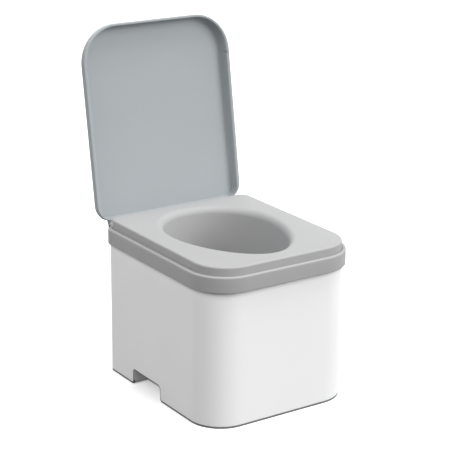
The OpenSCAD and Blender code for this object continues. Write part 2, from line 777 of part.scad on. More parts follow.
// A knuckle and the web that joins it to the closed lid's rear wall, seen along the axis
module knuckle_outline() {
  lid_y = lid_rear - hinge_y;
  low = lid_z - hinge_z + weld;
  high = low + 12;
  circle(knuckle_r, $fn = round_fn);
  polygon([[-knuckle_r, 0], [-knuckle_r, low], [lid_y - 2, low], [lid_y - 2, high],
    [lid_y + 6, high], [knuckle_r, low + 2], [knuckle_r, 0]]);
  // Heel that meets the frame's rear face when the lid is open
  heel_gap = 0.2;
  rotate(open_angle) translate([-hinge_back + heel_gap, -5]) square([hinge_back, 5]);
}

module lid() {
  color("lightsteelblue") opened() difference() {
    union() {
      difference() {
        translate([0, 0, lid_z])
          slab(lid_w, lid_front, lid_rear, lid_r_front, lid_r_rear, lid_h, lid_edge_r, lid_lip_r);
        translate([0, 0, lid_z - past])
          slab(seat_w + 2 * lid_fit, seat_front - lid_fit, seat_rear + lid_fit,
            seat_r_front + lid_fit, seat_r_rear + lid_fit, lid_hollow + past, lid_fillet_r, 0);
      }
      hinge_places() along_x(knuckle_w) knuckle_outline();
    }
    hinge_places() rotate([0, 90, 0])
      cylinder(r = pin_r + pin_gap + bush_t, h = knuckle_w + 2 * past, center = true, $fn = round_fn);
    // Dimples that the seat's snap nubs click into
    translate([0, 0, lid_gap]) snap_places(lid_fit + snap_out)
      cylinder(r = snap_r + 0.4, h = snap_h + 1, $fn = round_fn);
  }
}

module hinge_bushes() {
  color("dimgray") hinge_places() rotate([0, 90, 0]) difference() {
    cylinder(r = pin_r + pin_gap + bush_t - 0.02, h = knuckle_w, center = true, $fn = round_fn);
    cylinder(r = pin_r + pin_gap, h = knuckle_w + 2 * past, center = true, $fn = round_fn);
  }
}

module hinge_pins() {
  head_r = pin_r + 1.8;
  play = 0.1;
  inner = ear_out + 2 * clip_t + 1;
  color("silver") hinge_places() rotate([0, 90, 0]) {
    translate([0, 0, -inner]) cylinder(r = pin_r, h = inner + ear_out + play, $fn = round_fn);
    translate([0, 0, ear_out + play]) cylinder(r1 = head_r, r2 = head_r - 0.7, h = pin_head, $fn = round_fn);
  }
}

module pin_clips() {
  bore = pin_r + 0.02;
  dish = 0.5;
  color("silver") hinge_places() translate([-ear_out - 0.1, 0, 0]) rotate([0, -90, 0]) rotate_extrude($fn = round_fn)
    polygon([[bore, dish], [clip_r, 0], [clip_r, clip_t], [bore, clip_t + dish]]);
}

// ---------- Canister ----------

// The canister's outer form drawn in by d: two slabs meet at half height
module canister_form(d) {
  half = (canister_top - canister_z) / 2 - d;
  for (up = [0, 1]) translate([0, 0, (canister_top + canister_z) / 2]) mirror([0, 0, up])
    slab(canister_w - 2 * d, canister_front + d, -canister_back - d,
      canister_r_front - d, canister_r_rear - d, half, canister_edge_r - d, 0);
}

module at_neck() {
  translate([0, -spout_y, 0]) children();
}

// Places of the two lugs that hold the handle
module lug_places() {
  for (side = [-1, 1])
    translate([handle_x, -handle_y + side * (handle_len - handle_t) / 2, canister_top]) children();
}

module canister() {
  color("whitesmoke") difference() {
    union() {
      canister_form(0);
      at_neck() translate([0, 0, canister_top - weld]) cylinder(r = neck_r, h = neck_h + weld, $fn = round_fn);
      lug_places() translate([-lug_w / 2, -lug_len / 2, -weld]) cube([lug_w, lug_len, lug_h + weld]);
    }
    canister_form(canister_t);
    at_neck() translate([0, 0, canister_top - 2 * canister_t])
      cylinder(r = neck_r - neck_t, h = neck_h + 2 * canister_t + past, $fn = round_fn);
    handle_pin_places() cylinder(r = handle_pin_r + 0.03, h = lug_w + past, center = true, $fn = round_fn);
  }
}

module handle_pin_places() {
  lug_places() translate([0, 0, handle_pin_z - canister_top]) rotate([0, 90, 0]) children();
}

// Outline of the handle seen from the side: an arch with round shoulders and a round finger gap
module handle_outline() {
  inner_r = 4;
  reach = handle_len / 2 - handle_t;
  difference() {
    union() {
      translate([-handle_len / 2, 0]) square([handle_len, handle_h - handle_t]);
      translate([-reach, 0]) square([2 * reach, handle_h]);
      for (side = [-1, 1]) translate([side * reach, handle_h - handle_t]) circle(handle_t, $fn = round_fn);
    }
    translate([-reach, -past]) square([2 * reach, handle_h - handle_t - inner_r + past]);
    translate([-reach + inner_r, -past]) square([2 * (reach - inner_r), handle_h - handle_t + past]);
    for (side = [-1, 1]) translate([side * (reach - inner_r), handle_h - handle_t - inner_r])
      circle(inner_r, $fn = 48);
  }
}

module canister_handle() {
  color("dimgray") difference() {
    translate([handle_x, -handle_y, canister_top]) along_x(handle_w) handle_outline();
    lug_places() translate([-lug_w / 2 - lug_play, -lug_len / 2 - lug_play, -past])
      cube([lug_w + 2 * lug_play, lug_len + 2 * lug_play, lug_h + lug_play + past]);
    handle_pin_places() cylinder(r = handle_pin_r + 0.03, h = handle_w + past, center = true, $fn = round_fn);
  }
}

module handle_pins() {
  color("silver") handle_pin_places() cylinder(r = handle_pin_r, h = handle_w - 0.4, center = true, $fn = round_fn);
}

module screw_ring() {
  color("dimgray") at_neck() difference() {
    translate([0, 0, ring_z]) cylinder(r = ring_r, h = seal_z + seal_t + ring_top_t - ring_z, $fn = round_fn);
    translate([0, 0, ring_z - past]) cylinder(r = neck_r + ring_gap, h = seal_z + seal_t - ring_z + past, $fn = round_fn);
    translate([0, 0, ring_z]) cylinder(r = spout_r + 4, h = neck_h + ring_top_t + past, $fn = round_fn);
    for (i = [1 : flutes]) rotate([0, 0, i * 360 / flutes]) translate([ring_r + 1, 0, ring_z - past])
      cylinder(r = 2.2, h = neck_h + ring_top_t, $fn = 24);
  }
}

module spout_seal() {
  color("black") at_neck() translate([0, 0, seal_z]) difference() {
    cylinder(r = neck_r, h = seal_t, $fn = round_fn);
    translate([0, 0, -past]) cylinder(r = spout_r + 0.4, h = seal_t + 2 * past, $fn = round_fn);
  }
}

// ---------- Bucket ----------

// The bucket's outline at a height, drawn in by d; it leans in towards the base
function bucket_outline(d, z) =
  let (lean = bucket_lean * (bucket_top - z) / (bucket_top - bucket_z))
  outline(bucket_w, -bucket_front, bucket_back, bucket_r, bucket_r, d + lean, arc_small + 1, arc_small + 1, 4);

function bucket_rings() =
  let (
    z0 = bucket_z,
    r = bucket_edge_r,
    t = bucket_t,
    w = -flange_w,
    under = bucket_top - flange_t)
  concat(
    [for (i = [0 : 3]) let (a = i * 90 / 3)
      at(bucket_outline(r * (1 - sin(a)), z0 + r * (1 - cos(a))), z0 + r * (1 - cos(a)))],
    [at(bucket_outline(0, under - 3), under - 3)],
    [at(bucket_outline(-2, under), under)],
    [at(bucket_outline(w, under), under)],
    [at(bucket_outline(w, bucket_top), bucket_top)],
    [at(bucket_outline(1, bucket_top), bucket_top)],
    [at(bucket_outline(t, bucket_top - 2), bucket_top - 2)],
    [for (i = [3 : -1 : 0]) let (a = i * 90 / 3, q = r - t)
      at(bucket_outline(t + q * (1 - sin(a)), z0 + t + q * (1 - cos(a))), z0 + t + q * (1 - cos(a)))]);

module bucket_ear_places() {
  for (side = [0, 1]) mirror([side, 0, 0]) translate([0, bail_y, bail_z]) rotate([0, 90, 0]) children();
}

module bucket() {
  wall_x = bucket_w / 2 - bucket_lean * bail_down / (bucket_top - bucket_z);
  ear_end = bucket_w / 2 + bucket_ear_out;
  color("whitesmoke") difference() {
    union() {
      loft(bucket_rings(), false);
      bucket_ear_places() translate([0, 0, wall_x - bucket_t / 2])
        cylinder(r = bucket_ear_r, h = ear_end - wall_x + bucket_t / 2, $fn = round_fn);
    }
    bucket_ear_places() translate([0, 0, wall_x + 0.5])
      cylinder(r = bail_r + pin_gap, h = ear_end - wall_x, $fn = round_fn);
  }
}

module bag_ring() {
  color("gray") difference() {
    prism(bucket_w, -bucket_front, bucket_back, bucket_r, bucket_r, -flange_w - ring_play - ring_lip,
      bucket_top - 2, bucket_top + ring_t);
    prism(bucket_w, -bucket_front, bucket_back, bucket_r, bucket_r, -flange_w - ring_play,
      bucket_top - 2 - past, bucket_top);
    prism(bucket_w, -bucket_front, bucket_back, bucket_r, bucket_r, 2,
      bucket_top - past, bucket_top + ring_t + past);
  }
}

module bail() {
  pin_end = bucket_w / 2 - 0.5;
  arm = bail_len - bail_bend;
  color("silver") for (side = [0, 1]) mirror([side, 0, 0]) translate([0, bail_y, bail_z]) {
    // Pivot end, bend, arm, bend and half of the crossbar
    translate([pin_end, 0, 0]) rotate([0, 90, 0]) cylinder(r = bail_r, h = bail_x - bail_r - 1 - pin_end, $fn = 48);
    translate([bail_x - bail_r - 1, -bail_r - 1, 0])
      rotate_extrude(angle = 90, $fn = round_fn) translate([bail_r + 1, 0]) circle(bail_r, $fn = 48);
    translate([bail_x, -bail_r - 1, 0]) rotate([90, 0, 0]) cylinder(r = bail_r, h = arm - bail_r - 1, $fn = 48);
    translate([bail_x - bail_bend, -arm, 0]) rotate([0, 0, -90])
      rotate_extrude(angle = 90, $fn = round_fn) translate([bail_bend, 0]) circle(bail_r, $fn = 48);
    translate([0, -bail_len, 0]) rotate([0, 90, 0]) cylinder(r = bail_r, h = bail_x - bail_bend, $fn = 48);
  }
}

module bail_grip() {
  end_r = 2.5;
  color("dimgray") translate([0, bail_y - bail_len, bail_z]) rotate([0, 90, 0])
    rotate_extrude($fn = round_fn) difference() {
      union() {
        translate([bail_r + pin_gap, -bail_grip_len / 2])
          square([bail_grip_r - bail_r - pin_gap - end_r, bail_grip_len]);
        translate([bail_r + pin_gap, -bail_grip_len / 2 + end_r])
          square([bail_grip_r - bail_r - pin_gap, bail_grip_len - 2 * end_r]);
        for (side = [-1, 1]) translate([bail_grip_r - end_r, side * (bail_grip_len / 2 - end_r)])
          circle(end_r, $fn = 48);
      }
    }
}

body_shell();
foot_pads();
seat_frame();
rim_seal();
seat();
seat_screws();
diverter();
lid();
hinge_pins();
pin_clips();
hinge_bushes();
canister();
canister_handle();
handle_pins();
screw_ring();
spout_seal();
bucket();
bag_ring();
bail();
bail_grip();
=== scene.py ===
# %% [markdown]
# # A compact composting toilet
# This toilet works without water. A dish in the front of its bowl leads urine to a canister, and
# solids fall behind it into a bucket. The whole seat unit lifts off to empty both. Its pieces are
# plastic mouldings, so nearly every surface is flat or gently rounded and every edge has a radius.
# That is why this lesson makes them from outlines carried along profiles, worked out with numpy.

# %% Load the imported model
import math
import bmesh
import bpy
import numpy as np
from mathutils import Matrix, Vector
from mathutils.geometry import tessellate_polygon


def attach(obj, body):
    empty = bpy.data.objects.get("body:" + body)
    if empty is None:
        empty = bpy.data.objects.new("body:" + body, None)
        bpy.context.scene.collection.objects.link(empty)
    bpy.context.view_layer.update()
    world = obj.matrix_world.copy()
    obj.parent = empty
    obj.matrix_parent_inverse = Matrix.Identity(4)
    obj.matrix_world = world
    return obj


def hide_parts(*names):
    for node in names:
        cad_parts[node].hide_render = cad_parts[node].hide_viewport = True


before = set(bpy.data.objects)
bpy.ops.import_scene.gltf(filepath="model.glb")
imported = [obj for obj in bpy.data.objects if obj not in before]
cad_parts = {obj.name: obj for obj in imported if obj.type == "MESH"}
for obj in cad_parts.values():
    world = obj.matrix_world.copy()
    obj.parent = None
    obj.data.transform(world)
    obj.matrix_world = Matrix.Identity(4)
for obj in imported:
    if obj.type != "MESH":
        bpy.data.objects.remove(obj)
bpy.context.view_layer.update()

# %% [markdown]
# ## Points, rings and skins
# The measurements are in millimetres and become metres when a mesh is made. A mesh is a set of
# patches: each is an array of points and an array of faces that name them. The seams between
# patches are merged, and edges that turn sharply stay sharp when the rest is shaded smooth.

# %% Turn patches into one mesh object
MM = 0.001
weld_mm, shortest_mm, sharp_degrees = 0.004, 0.002, 40


def linked(name, data):
    """A new object of a mesh, a lamp or a camera, linked to the scene."""
    thing = bpy.data.objects.new(name, data)
    bpy.context.scene.collection.objects.link(thing)
    return thing


def make(name, patches):
    """One object from patches of (points in mm, [faces of 3 or 4 corners]), doubles merged."""
    starts = np.cumsum([0] + [len(points) for points, _ in patches])
    points = np.vstack([points for points, _ in patches]) * MM
    faces = [np.asarray(f) + s for (_, fs), s in zip(patches, starts) for f in fs if len(f)]
    mesh = bpy.data.meshes.new(name)
    mesh.from_pydata(points, [], [face for f in faces for face in f.tolist()])
    bm = bmesh.new()
    bm.from_mesh(mesh)
    bmesh.ops.remove_doubles(bm, verts=bm.verts, dist=weld_mm * MM)
    bmesh.ops.dissolve_degenerate(bm, edges=bm.edges, dist=shortest_mm * MM)
    bm.to_mesh(mesh)
    bm.free()
    mesh.shade_smooth()
    mesh.set_sharp_from_angle(angle=math.radians(sharp_degrees))
    print(name, "has", len(mesh.polygons), "faces")
    return linked(name, mesh)


# %% Skins through rows of points, and caps on their ends
def skin(rows, loop_rows=False, loop_points=True):
    """Faces between neighbouring rows and points: (j, i), (j, i+1), (j+1, i+1), (j+1, i)."""
    rows = np.asarray(rows, float)
    count, n = rows.shape[:2]
    j, i = np.meshgrid(np.arange(count if loop_rows else count - 1),
                       np.arange(n if loop_points else n - 1), indexing="ij")
    j, i = j.ravel(), i.ravel()
    k, h = (j + 1) % count, (i + 1) % n
    quads = np.column_stack([j * n + i, j * n + h, k * n + h, k * n + i])
    return rows.reshape(-1, 3), [quads]


def fan(ring, up=True):
    """Triangles from a ring to its middle point; up keeps the ring's own sense of turn."""
    ring = np.asarray(ring, float)
    i = np.arange(len(ring))
    a, b = (i, (i + 1) % len(ring)) if up else ((i + 1) % len(ring), i)
    return np.vstack([ring, ring.mean(0)]), [np.column_stack([a, b, np.full(len(ring), len(ring))])]


def flat(loops, normal):
    """A flat cap inside the first loop and outside the others, with its faces along normal."""
    points = np.vstack(loops)
    tris = np.array(tessellate_polygon([[tuple(p) for p in loop] for loop in loops]))
    a, b, c = points[tris[:, 0]], points[tris[:, 1]], points[tris[:, 2]]
    facing = np.cross(b - a, c - a) @ np.array(normal, float)
    return points, [tris if facing.sum() > 0 else tris[:, ::-1]]


def mirrored(patches):
    """The same patches on the other side of x = 0, with their faces still outwards."""
    flip = np.array([-1.0, 1.0, 1.0])
    return [(points * flip, [f[:, ::-1] for f in fs]) for points, fs in patches]


print("a skin through 3 rows of 4 points has", len(skin(np.zeros((3, 4, 3)))[1][0]), "faces")

# %% [markdown]
# ## Rounded outlines
# Seen from above, the body, the frame, the seat and the lid are all rectangles with two large
# front corners and two small rear ones. If each outline has the same number of points, any two of
# them can be joined ring to ring. A point's outward normal is kept beside it, because drawing an
# outline in by a distance then is one subtraction.

# %% The outline of a moulding
# A side's closer points lie where the lid's snap dimples are
side_u = np.unique(np.round(np.concatenate([np.linspace(0, 1, 45), np.linspace(0.006, 0.06, 28)]), 4))


def outline(width, front, rear, front_r, rear_r, corner=28, side=side_u, end=33):
    """Points and normals, anticlockwise from the front right corner: arcs c + r (cos a, sin a)
    with the normal (cos a, sin a), joined by straights a + u (b - a)."""
    x, parts, end_u = width / 2, [], np.linspace(0, 1, end)[:-1]

    def bend(cx, cy, r, start):
        a = np.radians(np.linspace(start, start + 90, corner + 1)[:-1])
        n = np.column_stack([np.cos(a), np.sin(a)])
        parts.append((np.array([cx, cy]) + r * n, n))

    def straight(a, b, u, normal):
        a, b = np.array(a), np.array(b)
        parts.append((a + u[:, None] * (b - a), np.tile(normal, (len(u), 1))))

    bend(x - front_r, front + front_r, front_r, -90)
    straight((x, front + front_r), (x, rear - rear_r), side[:-1], (1.0, 0.0))
    bend(x - rear_r, rear - rear_r, rear_r, 0)
    straight((x - rear_r, rear), (-x + rear_r, rear), end_u, (0.0, 1.0))
    bend(-x + rear_r, rear - rear_r, rear_r, 90)
    straight((-x, rear - rear_r), (-x, front + front_r), (1 - side[::-1])[:-1], (-1.0, 0.0))
    bend(-x + front_r, front + front_r, front_r, 180)
    straight((-x + front_r, front), (x - front_r, front), end_u, (0.0, -1.0))
    return np.vstack([p for p, _ in parts]), np.vstack([n for _, n in parts])


def level(points, z):
    """Points (x, y) at the height z."""
    return np.column_stack([points, np.full(len(points), float(z))])


def upright(x, points):
    """Points (y, z) at the place x."""
    return np.column_stack([np.full(len(points), float(x)), points])


def ring(shape, inset, z):
    """The outline drawn in by inset along its normals, at the height z."""
    return level(shape[0] - inset * shape[1], z)


def quarter(r, steps):
    """Pairs (r (1 - sin b), r (1 - cos b)) for b from 0 to 90 degrees, which round an edge."""
    b = np.radians(np.linspace(0, 90, steps + 1))
    return list(zip(r * (1 - np.sin(b)), r * (1 - np.cos(b))))


def profile(shape, pairs):
    """Rings of one outline for a list of (inset, height) pairs."""
    return [ring(shape, inset, z) for inset, z in pairs]


def arc(x, y, r, start, end, steps=8):
    """Pairs (x + r cos a, y + r sin a) for a from start to end, in degrees."""
    a = np.radians(np.linspace(start, end, steps + 1))
    return list(zip(x + r * np.cos(a), y + r * np.sin(a)))


body_size = (328.5, -186, 186, 66, 18)
body_shape = outline(*body_size)
frame_shape = outline(340, -197.5, 188, 78.4, 22)
seat_shape = outline(321, -190.5, 184, 68.7, 18.8)
print("each outline has", len(body_shape[0]), "points")

# %% [markdown]
# ## Plates and turned pieces
# Ears, knuckles and the canister's handle are flat outlines with thickness and rounded edges.
# Tubes, screw bosses and feet are turned: a profile swept round an axis. One helper for each kind
# covers all of them.

# %% Flat outlines with rounded corners
def rounded(corners, radii, steps=6):
    """A closed outline through corners, each cut back by r tan(half turn) and joined by an arc."""
    corners = np.array(corners, float)
    points = []
    neighbours = zip(np.roll(corners, 1, 0), corners, np.roll(corners, -1, 0), radii)
    for before, here, after, r in neighbours:
        a, b = before - here, after - here
        a, b = a / np.linalg.norm(a), b / np.linalg.norm(b)
        half = math.acos(np.clip(a @ b, -1, 1)) / 2
        middle = here + (a + b) / np.linalg.norm(a + b) * r / math.sin(half)
        start = here + a * r / math.tan(half) - middle
        end = here + b * r / math.tan(half) - middle
        a0, a1 = math.atan2(start[1], start[0]), math.atan2(end[1], end[0])
        turn = (a1 - a0 + math.pi) % (2 * math.pi) - math.pi
        t = a0 + turn * np.linspace(0, 1, steps + 1)
        points.append(middle + r * np.column_stack([np.cos(t), np.sin(t)]))
    return np.vstack(points)


def drawn_in(curve, d):
    """A closed curve moved to its left by d: each point goes along the mean of its edge normals."""
    edge = np.roll(curve, -1, 0) - curve
    edge /= np.maximum(np.linalg.norm(edge, axis=1), 1e-9)[:, None]
    left = np.column_stack([-edge[:, 1], edge[:, 0]])
    mean = left + np.roll(left, 1, 0)
    mean /= np.maximum((mean * mean).sum(1) / 2, 0.5)[:, None]
    return curve + d * mean


def plate(curve, x0, x1, edge=0.8, steps=4):
    """A plate between x0 and x1 whose outline is an anticlockwise curve in (y, z), with its edges
    rounded: it is drawn in by e (1 - sin b) at the depth e (1 - cos b) under each face."""
    steps_in = quarter(edge, steps)
    places = [(d, x0 + h) for d, h in steps_in] + [(d, x1 - h) for d, h in steps_in[::-1]]
    rows = [upright(x, drawn_in(curve, d)) for d, x in places]
    return [skin(rows), flat([rows[0]], (-1, 0, 0)), flat([rows[-1]], (1, 0, 0))]


print("a rounded square has", len(rounded([(0, 0), (9, 0), (9, 9), (0, 9)], [2] * 4)), "points")

# %% Pieces turned about an axis
def turned(pairs, centre=(0, 0, 0), axis="z", steps=64, closed=False):
    """A profile of (radius, height) pairs swept round an axis: (r cos t, r sin t, h)."""
    t = np.linspace(0, 2 * math.pi, steps, endpoint=False)
    rows = [np.column_stack([r * np.cos(t), r * np.sin(t), np.full(steps, h)]) for r, h in pairs]
    points, faces = skin(rows, loop_rows=closed)
    if axis == "x":
        points = points[:, [2, 0, 1]]
    return points + np.array(centre, float), faces


print("a turned tube has", len(turned([(5, 0), (5, 9)])[1][0]), "faces")

# %% [markdown]
# ## The body
# The body is one moulding: a deep box with a 4.5 mm wall and a hand grip notched into the foot of
# each side. A boolean cut would leave raw edges at the grips. Instead the wall's lower edge is one
# curve that runs along the ground, climbs over each grip and comes down again. A small step for the
# dark strip of painted shade is carried along that whole curve, so it turns every corner as the mould
# does.

# %% The body's lower edge
side_front, side_rear = -120.0, 168.0
grip_front, grip_rear, grip_top = -10.5, 89.5, 31.0
ground_r, front_r, rear_r = 5.2, 9, 4


def run(a, b, steps, m):
    """Straight stretch of the edge in (y, z), with the in-wall direction m away from the edge."""
    u = np.linspace(0, 1, steps + 1)[:-1, None]
    a, b = np.array(a, float), np.array(b, float)
    return a + u * (b - a), np.tile(m, (steps, 1)).astype(float)


def turn(cy, cz, r, start, end, outward, steps=10):
    """Bend of the edge; outward says whether the wall lies outside the bend's circle."""
    a = np.radians(np.linspace(start, end, steps + 1)[:-1])
    n = np.column_stack([np.cos(a), np.sin(a)])
    return np.array([cy, cz]) + r * n, n if outward else -n


# The bends' centres: on the ground outside the grip, and inside it under its top
out_front, out_rear = grip_front - ground_r, grip_rear + ground_r
in_front, in_rear = grip_front + front_r, grip_rear - rear_r
up_front, up_rear = grip_top - front_r, grip_top - rear_r
stretches = [
    run((side_front, 0), (out_front, 0), 24, (0, 1)),
    turn(out_front, ground_r, ground_r, -90, 0, False),
    run((grip_front, ground_r), (grip_front, up_front), 8, (-1, 0)),
    turn(in_front, up_front, front_r, 180, 90, True),
    run((in_front, grip_top), (in_rear, grip_top), 24, (0, 1)),
    turn(in_rear, up_rear, rear_r, 90, 0, True),
    run((grip_rear, up_rear), (grip_rear, ground_r), 8, (1, 0)),
    turn(out_rear, ground_r, ground_r, 180, 270, False),
    run((out_rear, 0), (side_rear, 0), 16, (0, 1)),
]
edge_yz = np.vstack([p for p, _ in stretches])
edge_m = np.vstack([m for _, m in stretches])
counts = [len(p) for p, _ in stretches]
# Higher up, the columns spread away from the grip, so that no two of them cross on the wall
bounds_y = [side_front, -40, -34, -22, in_front, in_rear, 101, 113, 119, side_rear]
upper_y = np.concatenate([np.linspace(a, b, n, endpoint=False)
                          for a, b, n in zip(bounds_y, bounds_y[1:], counts)])
grip_start, grip_end = counts[0], sum(counts[:8])
print("the lower edge of one side has", len(edge_yz), "points")

# %% Join the sides, corners and ends into one closed edge
x_side = body_size[0] / 2
n_corner, n_end, n_side = 24, 28, len(edge_yz)
plain = outline(*body_size, corner=n_corner, side=np.array([0.0, 1.0]), end=n_end + 1)
at_right, at_left = n_corner, 3 * n_corner + n_end + 1


def around(ends, x, values, last):
    """The plain outline's rows with its side points replaced by the edge's own: (x, values) on the
    right and (-x, values) backwards on the left, where last is the value at a side's rear end."""
    back = np.vstack([[last], values[:0:-1]])
    return np.vstack([ends[:at_right], upright(x, values), ends[at_right + 1:at_left],
                      upright(-x, back), ends[at_left + 1:]])


# Round the whole body: the edge's points, the ways out of and up the wall, and the columns higher up
edge_xyz = around(level(plain[0], 0), x_side, edge_yz, (side_rear, 0.0))
wall_n = around(level(plain[1], 0), 1, 0 * edge_yz, (0, 0))
wall_m = around(level(0 * plain[0], 1), 0, edge_m, (0, 1))
upper = around(plain[0], x_side, upper_y[:, None], (side_rear,))
wall_shape = (upper, wall_n[:, :2])
print("the body's whole lower edge has", len(edge_xyz), "points")

# %% The body's wall and rim
rim_z, wall_t, floor_z = 268.0, 4.5, 5.0
# The step's section from the ground up to the wall, as (distance under the wall, distance up it)
step = [(6.0, 0), (5.7, 0.05), (5.5, 0.3), (5.5, 2.9), (5.0, 3.5), (0.9, 3.65), (0.35, 3.8), (0.08, 4.2),
        (0, 4.8), (0, 5.4)]
# climb is 0 on the ground and 1 over a grip; rear_end and front_end are 1 up the grip's two ends
climb = np.clip((edge_xyz[:, 2:] - 2) / 8, 0, 1)
rear_end = climb * np.clip(wall_m[:, 1:2], 0, 1)
front_end = climb * np.clip(-wall_m[:, 1:2], 0, 1)
# Over the grip the step is lower, up its front end it is shallow and up its rear end it nearly closes
height = (1 - 0.5 * climb) * (1 - 0.6 * rear_end)
reach = 1 - 0.8 * rear_end - 0.6 * front_end


def along_edge(section):
    """Rows along the body's lower edge: p - d r n + h k m for each (d, h), with the shares r and k."""
    return [edge_xyz - d * reach * wall_n + h * height * wall_m for d, h in section]


wall_rows = along_edge(step)
wall_rows += profile(wall_shape, [(0, z) for z in (60, 120, 180, 240, rim_z - 1)]
                     + arc(1, rim_z - 1, 1, 180, 90, 4)[1:] + [(wall_t - 0.6, rim_z)]
                     + arc(wall_t - 0.6, rim_z - 0.6, 0.6, 90, 0, 3)[1:] + [(wall_t, 200), (wall_t, 60)])
shell = [skin(wall_rows)]
print("the wall goes over the rim in", len(wall_rows), "rows of points")

# %% [markdown]
# ## Pockets, boxes and floor
# Each grip has a pocket for the fingers, and a box inside the body closes it off, so that no spill
# runs out. Both are rows of the grip's own edge carried in along X, so they meet the wall.

# %% The grips' pockets, and the underside with the feet's recesses
depth, back_r = 34.0, 2.0
pocket = slice(grip_start, grip_end + 1)
near_ground = np.clip((edge_yz[pocket, 1] - 6) / 6, 0, 1)
fade = (near_ground * near_ground * (3 - 2 * near_ground))[:, None]


def pocket_row(d, into):
    """The grip's edge carried in by d, and drawn towards the grip's middle by into."""
    return upright(x_side - d, edge_yz[pocket] - into * fade * edge_m[pocket])


pocket_rows = [wall_rows[0][at_right:][pocket]] + [pocket_row(d, 0) for d in (12, 22, depth - back_r)]
pocket_rows += [pocket_row(depth - out, into) for out, into in quarter(back_r, 3)[1:]]
pocket_skin = skin(pocket_rows[::-1], loop_points=False)
right_pocket = [pocket_skin, flat([pocket_rows[-1]], (1, 0, 0))]
shell += right_pocket + mirrored(right_pocket)

ground = wall_rows[0]
start_right, start_left = at_right, at_right + n_side + (at_left - at_right - 1)
left_first, left_last = start_left + n_side - grip_end, start_left + n_side - grip_start
right_ground = np.array([row[0] for row in pocket_rows[1:]] + [row[-1] for row in pocket_rows[:0:-1]])
base_loop = np.vstack([ground[:start_right + grip_start + 1], right_ground,
                       ground[start_right + grip_end:left_first + 1],
                       right_ground[::-1] * [-1, 1, 1], ground[left_last:]])
foot_x, foot_y, foot_tall, recess_r = 118.25, 140, 2, 12.1
foot_at = [(x, y) for x in (-foot_x, foot_x) for y in (-foot_y, foot_y)]
t = np.linspace(0, 2 * math.pi, 48, endpoint=False)
holes = [level(np.column_stack([x + recess_r * np.cos(t), y + recess_r * np.sin(t)]), 0)
         for x, y in foot_at]
shell.append(flat([base_loop] + holes, (0, 0, -1)))
for hole in holes:
    top = hole + [0, 0, foot_tall]
    shell += [skin([top, hole]), fan(top, up=False)]
print("each pocket is", depth, "mm deep, and the underside has", len(holes), "recesses")

# %% Inside: the wall down to the floor, and the grips' boxes
foot_shape = (edge_xyz[:, :2], wall_n[:, :2])
wall_foot = np.array([ring(wall_shape, wall_t, 60)] + profile(foot_shape, [(wall_t, floor_z + 4)]
                     + arc(wall_t + 4, floor_z + 4, 4, 180, 270, 5)[1:]))
first_right, last_right = start_right + grip_start, start_right + grip_end
front_columns = np.arange(left_last, first_right + 1 + len(upper)) % len(upper)
rear_columns = np.arange(last_right, left_first + 1)
for columns in (front_columns, rear_columns):
    shell.append(skin(wall_foot[:, columns], loop_points=False))

box_x, box_r, box_wall = 126.25, 2, 4
# The greater of a point (y, z) and (-inf, h) is the point itself, lifted to h if it is lower
grown = np.maximum(edge_yz[pocket] + box_wall * edge_m[pocket], (-np.inf, floor_z))
box_rows = [wall_foot[0][first_right:last_right + 1]]
box_rows += [upright(x, np.maximum(grown, (-np.inf, z))) for x, _, z in wall_foot[1:, first_right]]
box_rows += [upright(x, grown) for x in (140, box_x + box_r)]
box_rows += [upright(box_x + out, np.maximum(grown - into * edge_m[pocket], (-np.inf, floor_z)))
             for out, into in quarter(box_r, 3)[1:]]
box_patch = [skin(box_rows, loop_points=False), flat([box_rows[-1]], (-1, 0, 0))]
shell += box_patch + mirrored(box_patch)
inner_rows = box_rows[len(wall_foot):]
box_edge = np.array([row[0] for row in inner_rows] + [row[-1] for row in inner_rows[::-1]])
floor_loop = np.vstack([wall_foot[-1][front_columns], box_edge, wall_foot[-1][rear_columns],
                        box_edge[::-1] * [-1, 1, 1]])
shell.append(flat([floor_loop], (0, 0, 1)))
print("the floor runs round the two boxes in", len(floor_loop), "points")

# %% The locating ribs on the floor
rib_low, rib_top = floor_z - 1, floor_z + 12
for y in (-40, -25):
    section = rounded([(y, rib_low), (y + 3, rib_low), (y + 3, rib_top), (y, rib_top)], [0.7, 0.7, 1, 1])
    shell += plate(section, -100, 100, edge=0.6, steps=2)
body = make("body_shell_moulding", shell)

# %% [markdown]
# ## The strip of painted shade
# A dark line runs round the whole foot of the body and over its grips, where the lower edge is in
# shade. It is painted shade: a dark grey strip set into the step under the wall. It is one closed
# section carried along the same curve as the wall, so it meets the body everywhere.

# %% The dark strip of painted shade along the body's lower edge
strip_section = [(0.9, 0), (0.45, 0.15), (0.3, 0.6), (0.3, 3.0), (0.5, 3.4), (1.0, 3.55), (5.0, 3.4),
                 (5.4, 2.9), (5.4, 0.3), (5.1, 0)]
shade_strip = make("painted_shade_foot_strip", [skin(along_edge(strip_section), loop_rows=True)])

# %% [markdown]
# ## The seat frame
# The band above the body is the frame that carries everything that lifts off. Its section is
# closed: outer wall, 3.6 mm shoulder, the ledge that shows as a thin bright line, the wall down to
# the shelf that the seat stands on, a skirt that centres it in the body and a groove for the seal.
# One loop of rings makes it, each from the outline that the real edge follows.

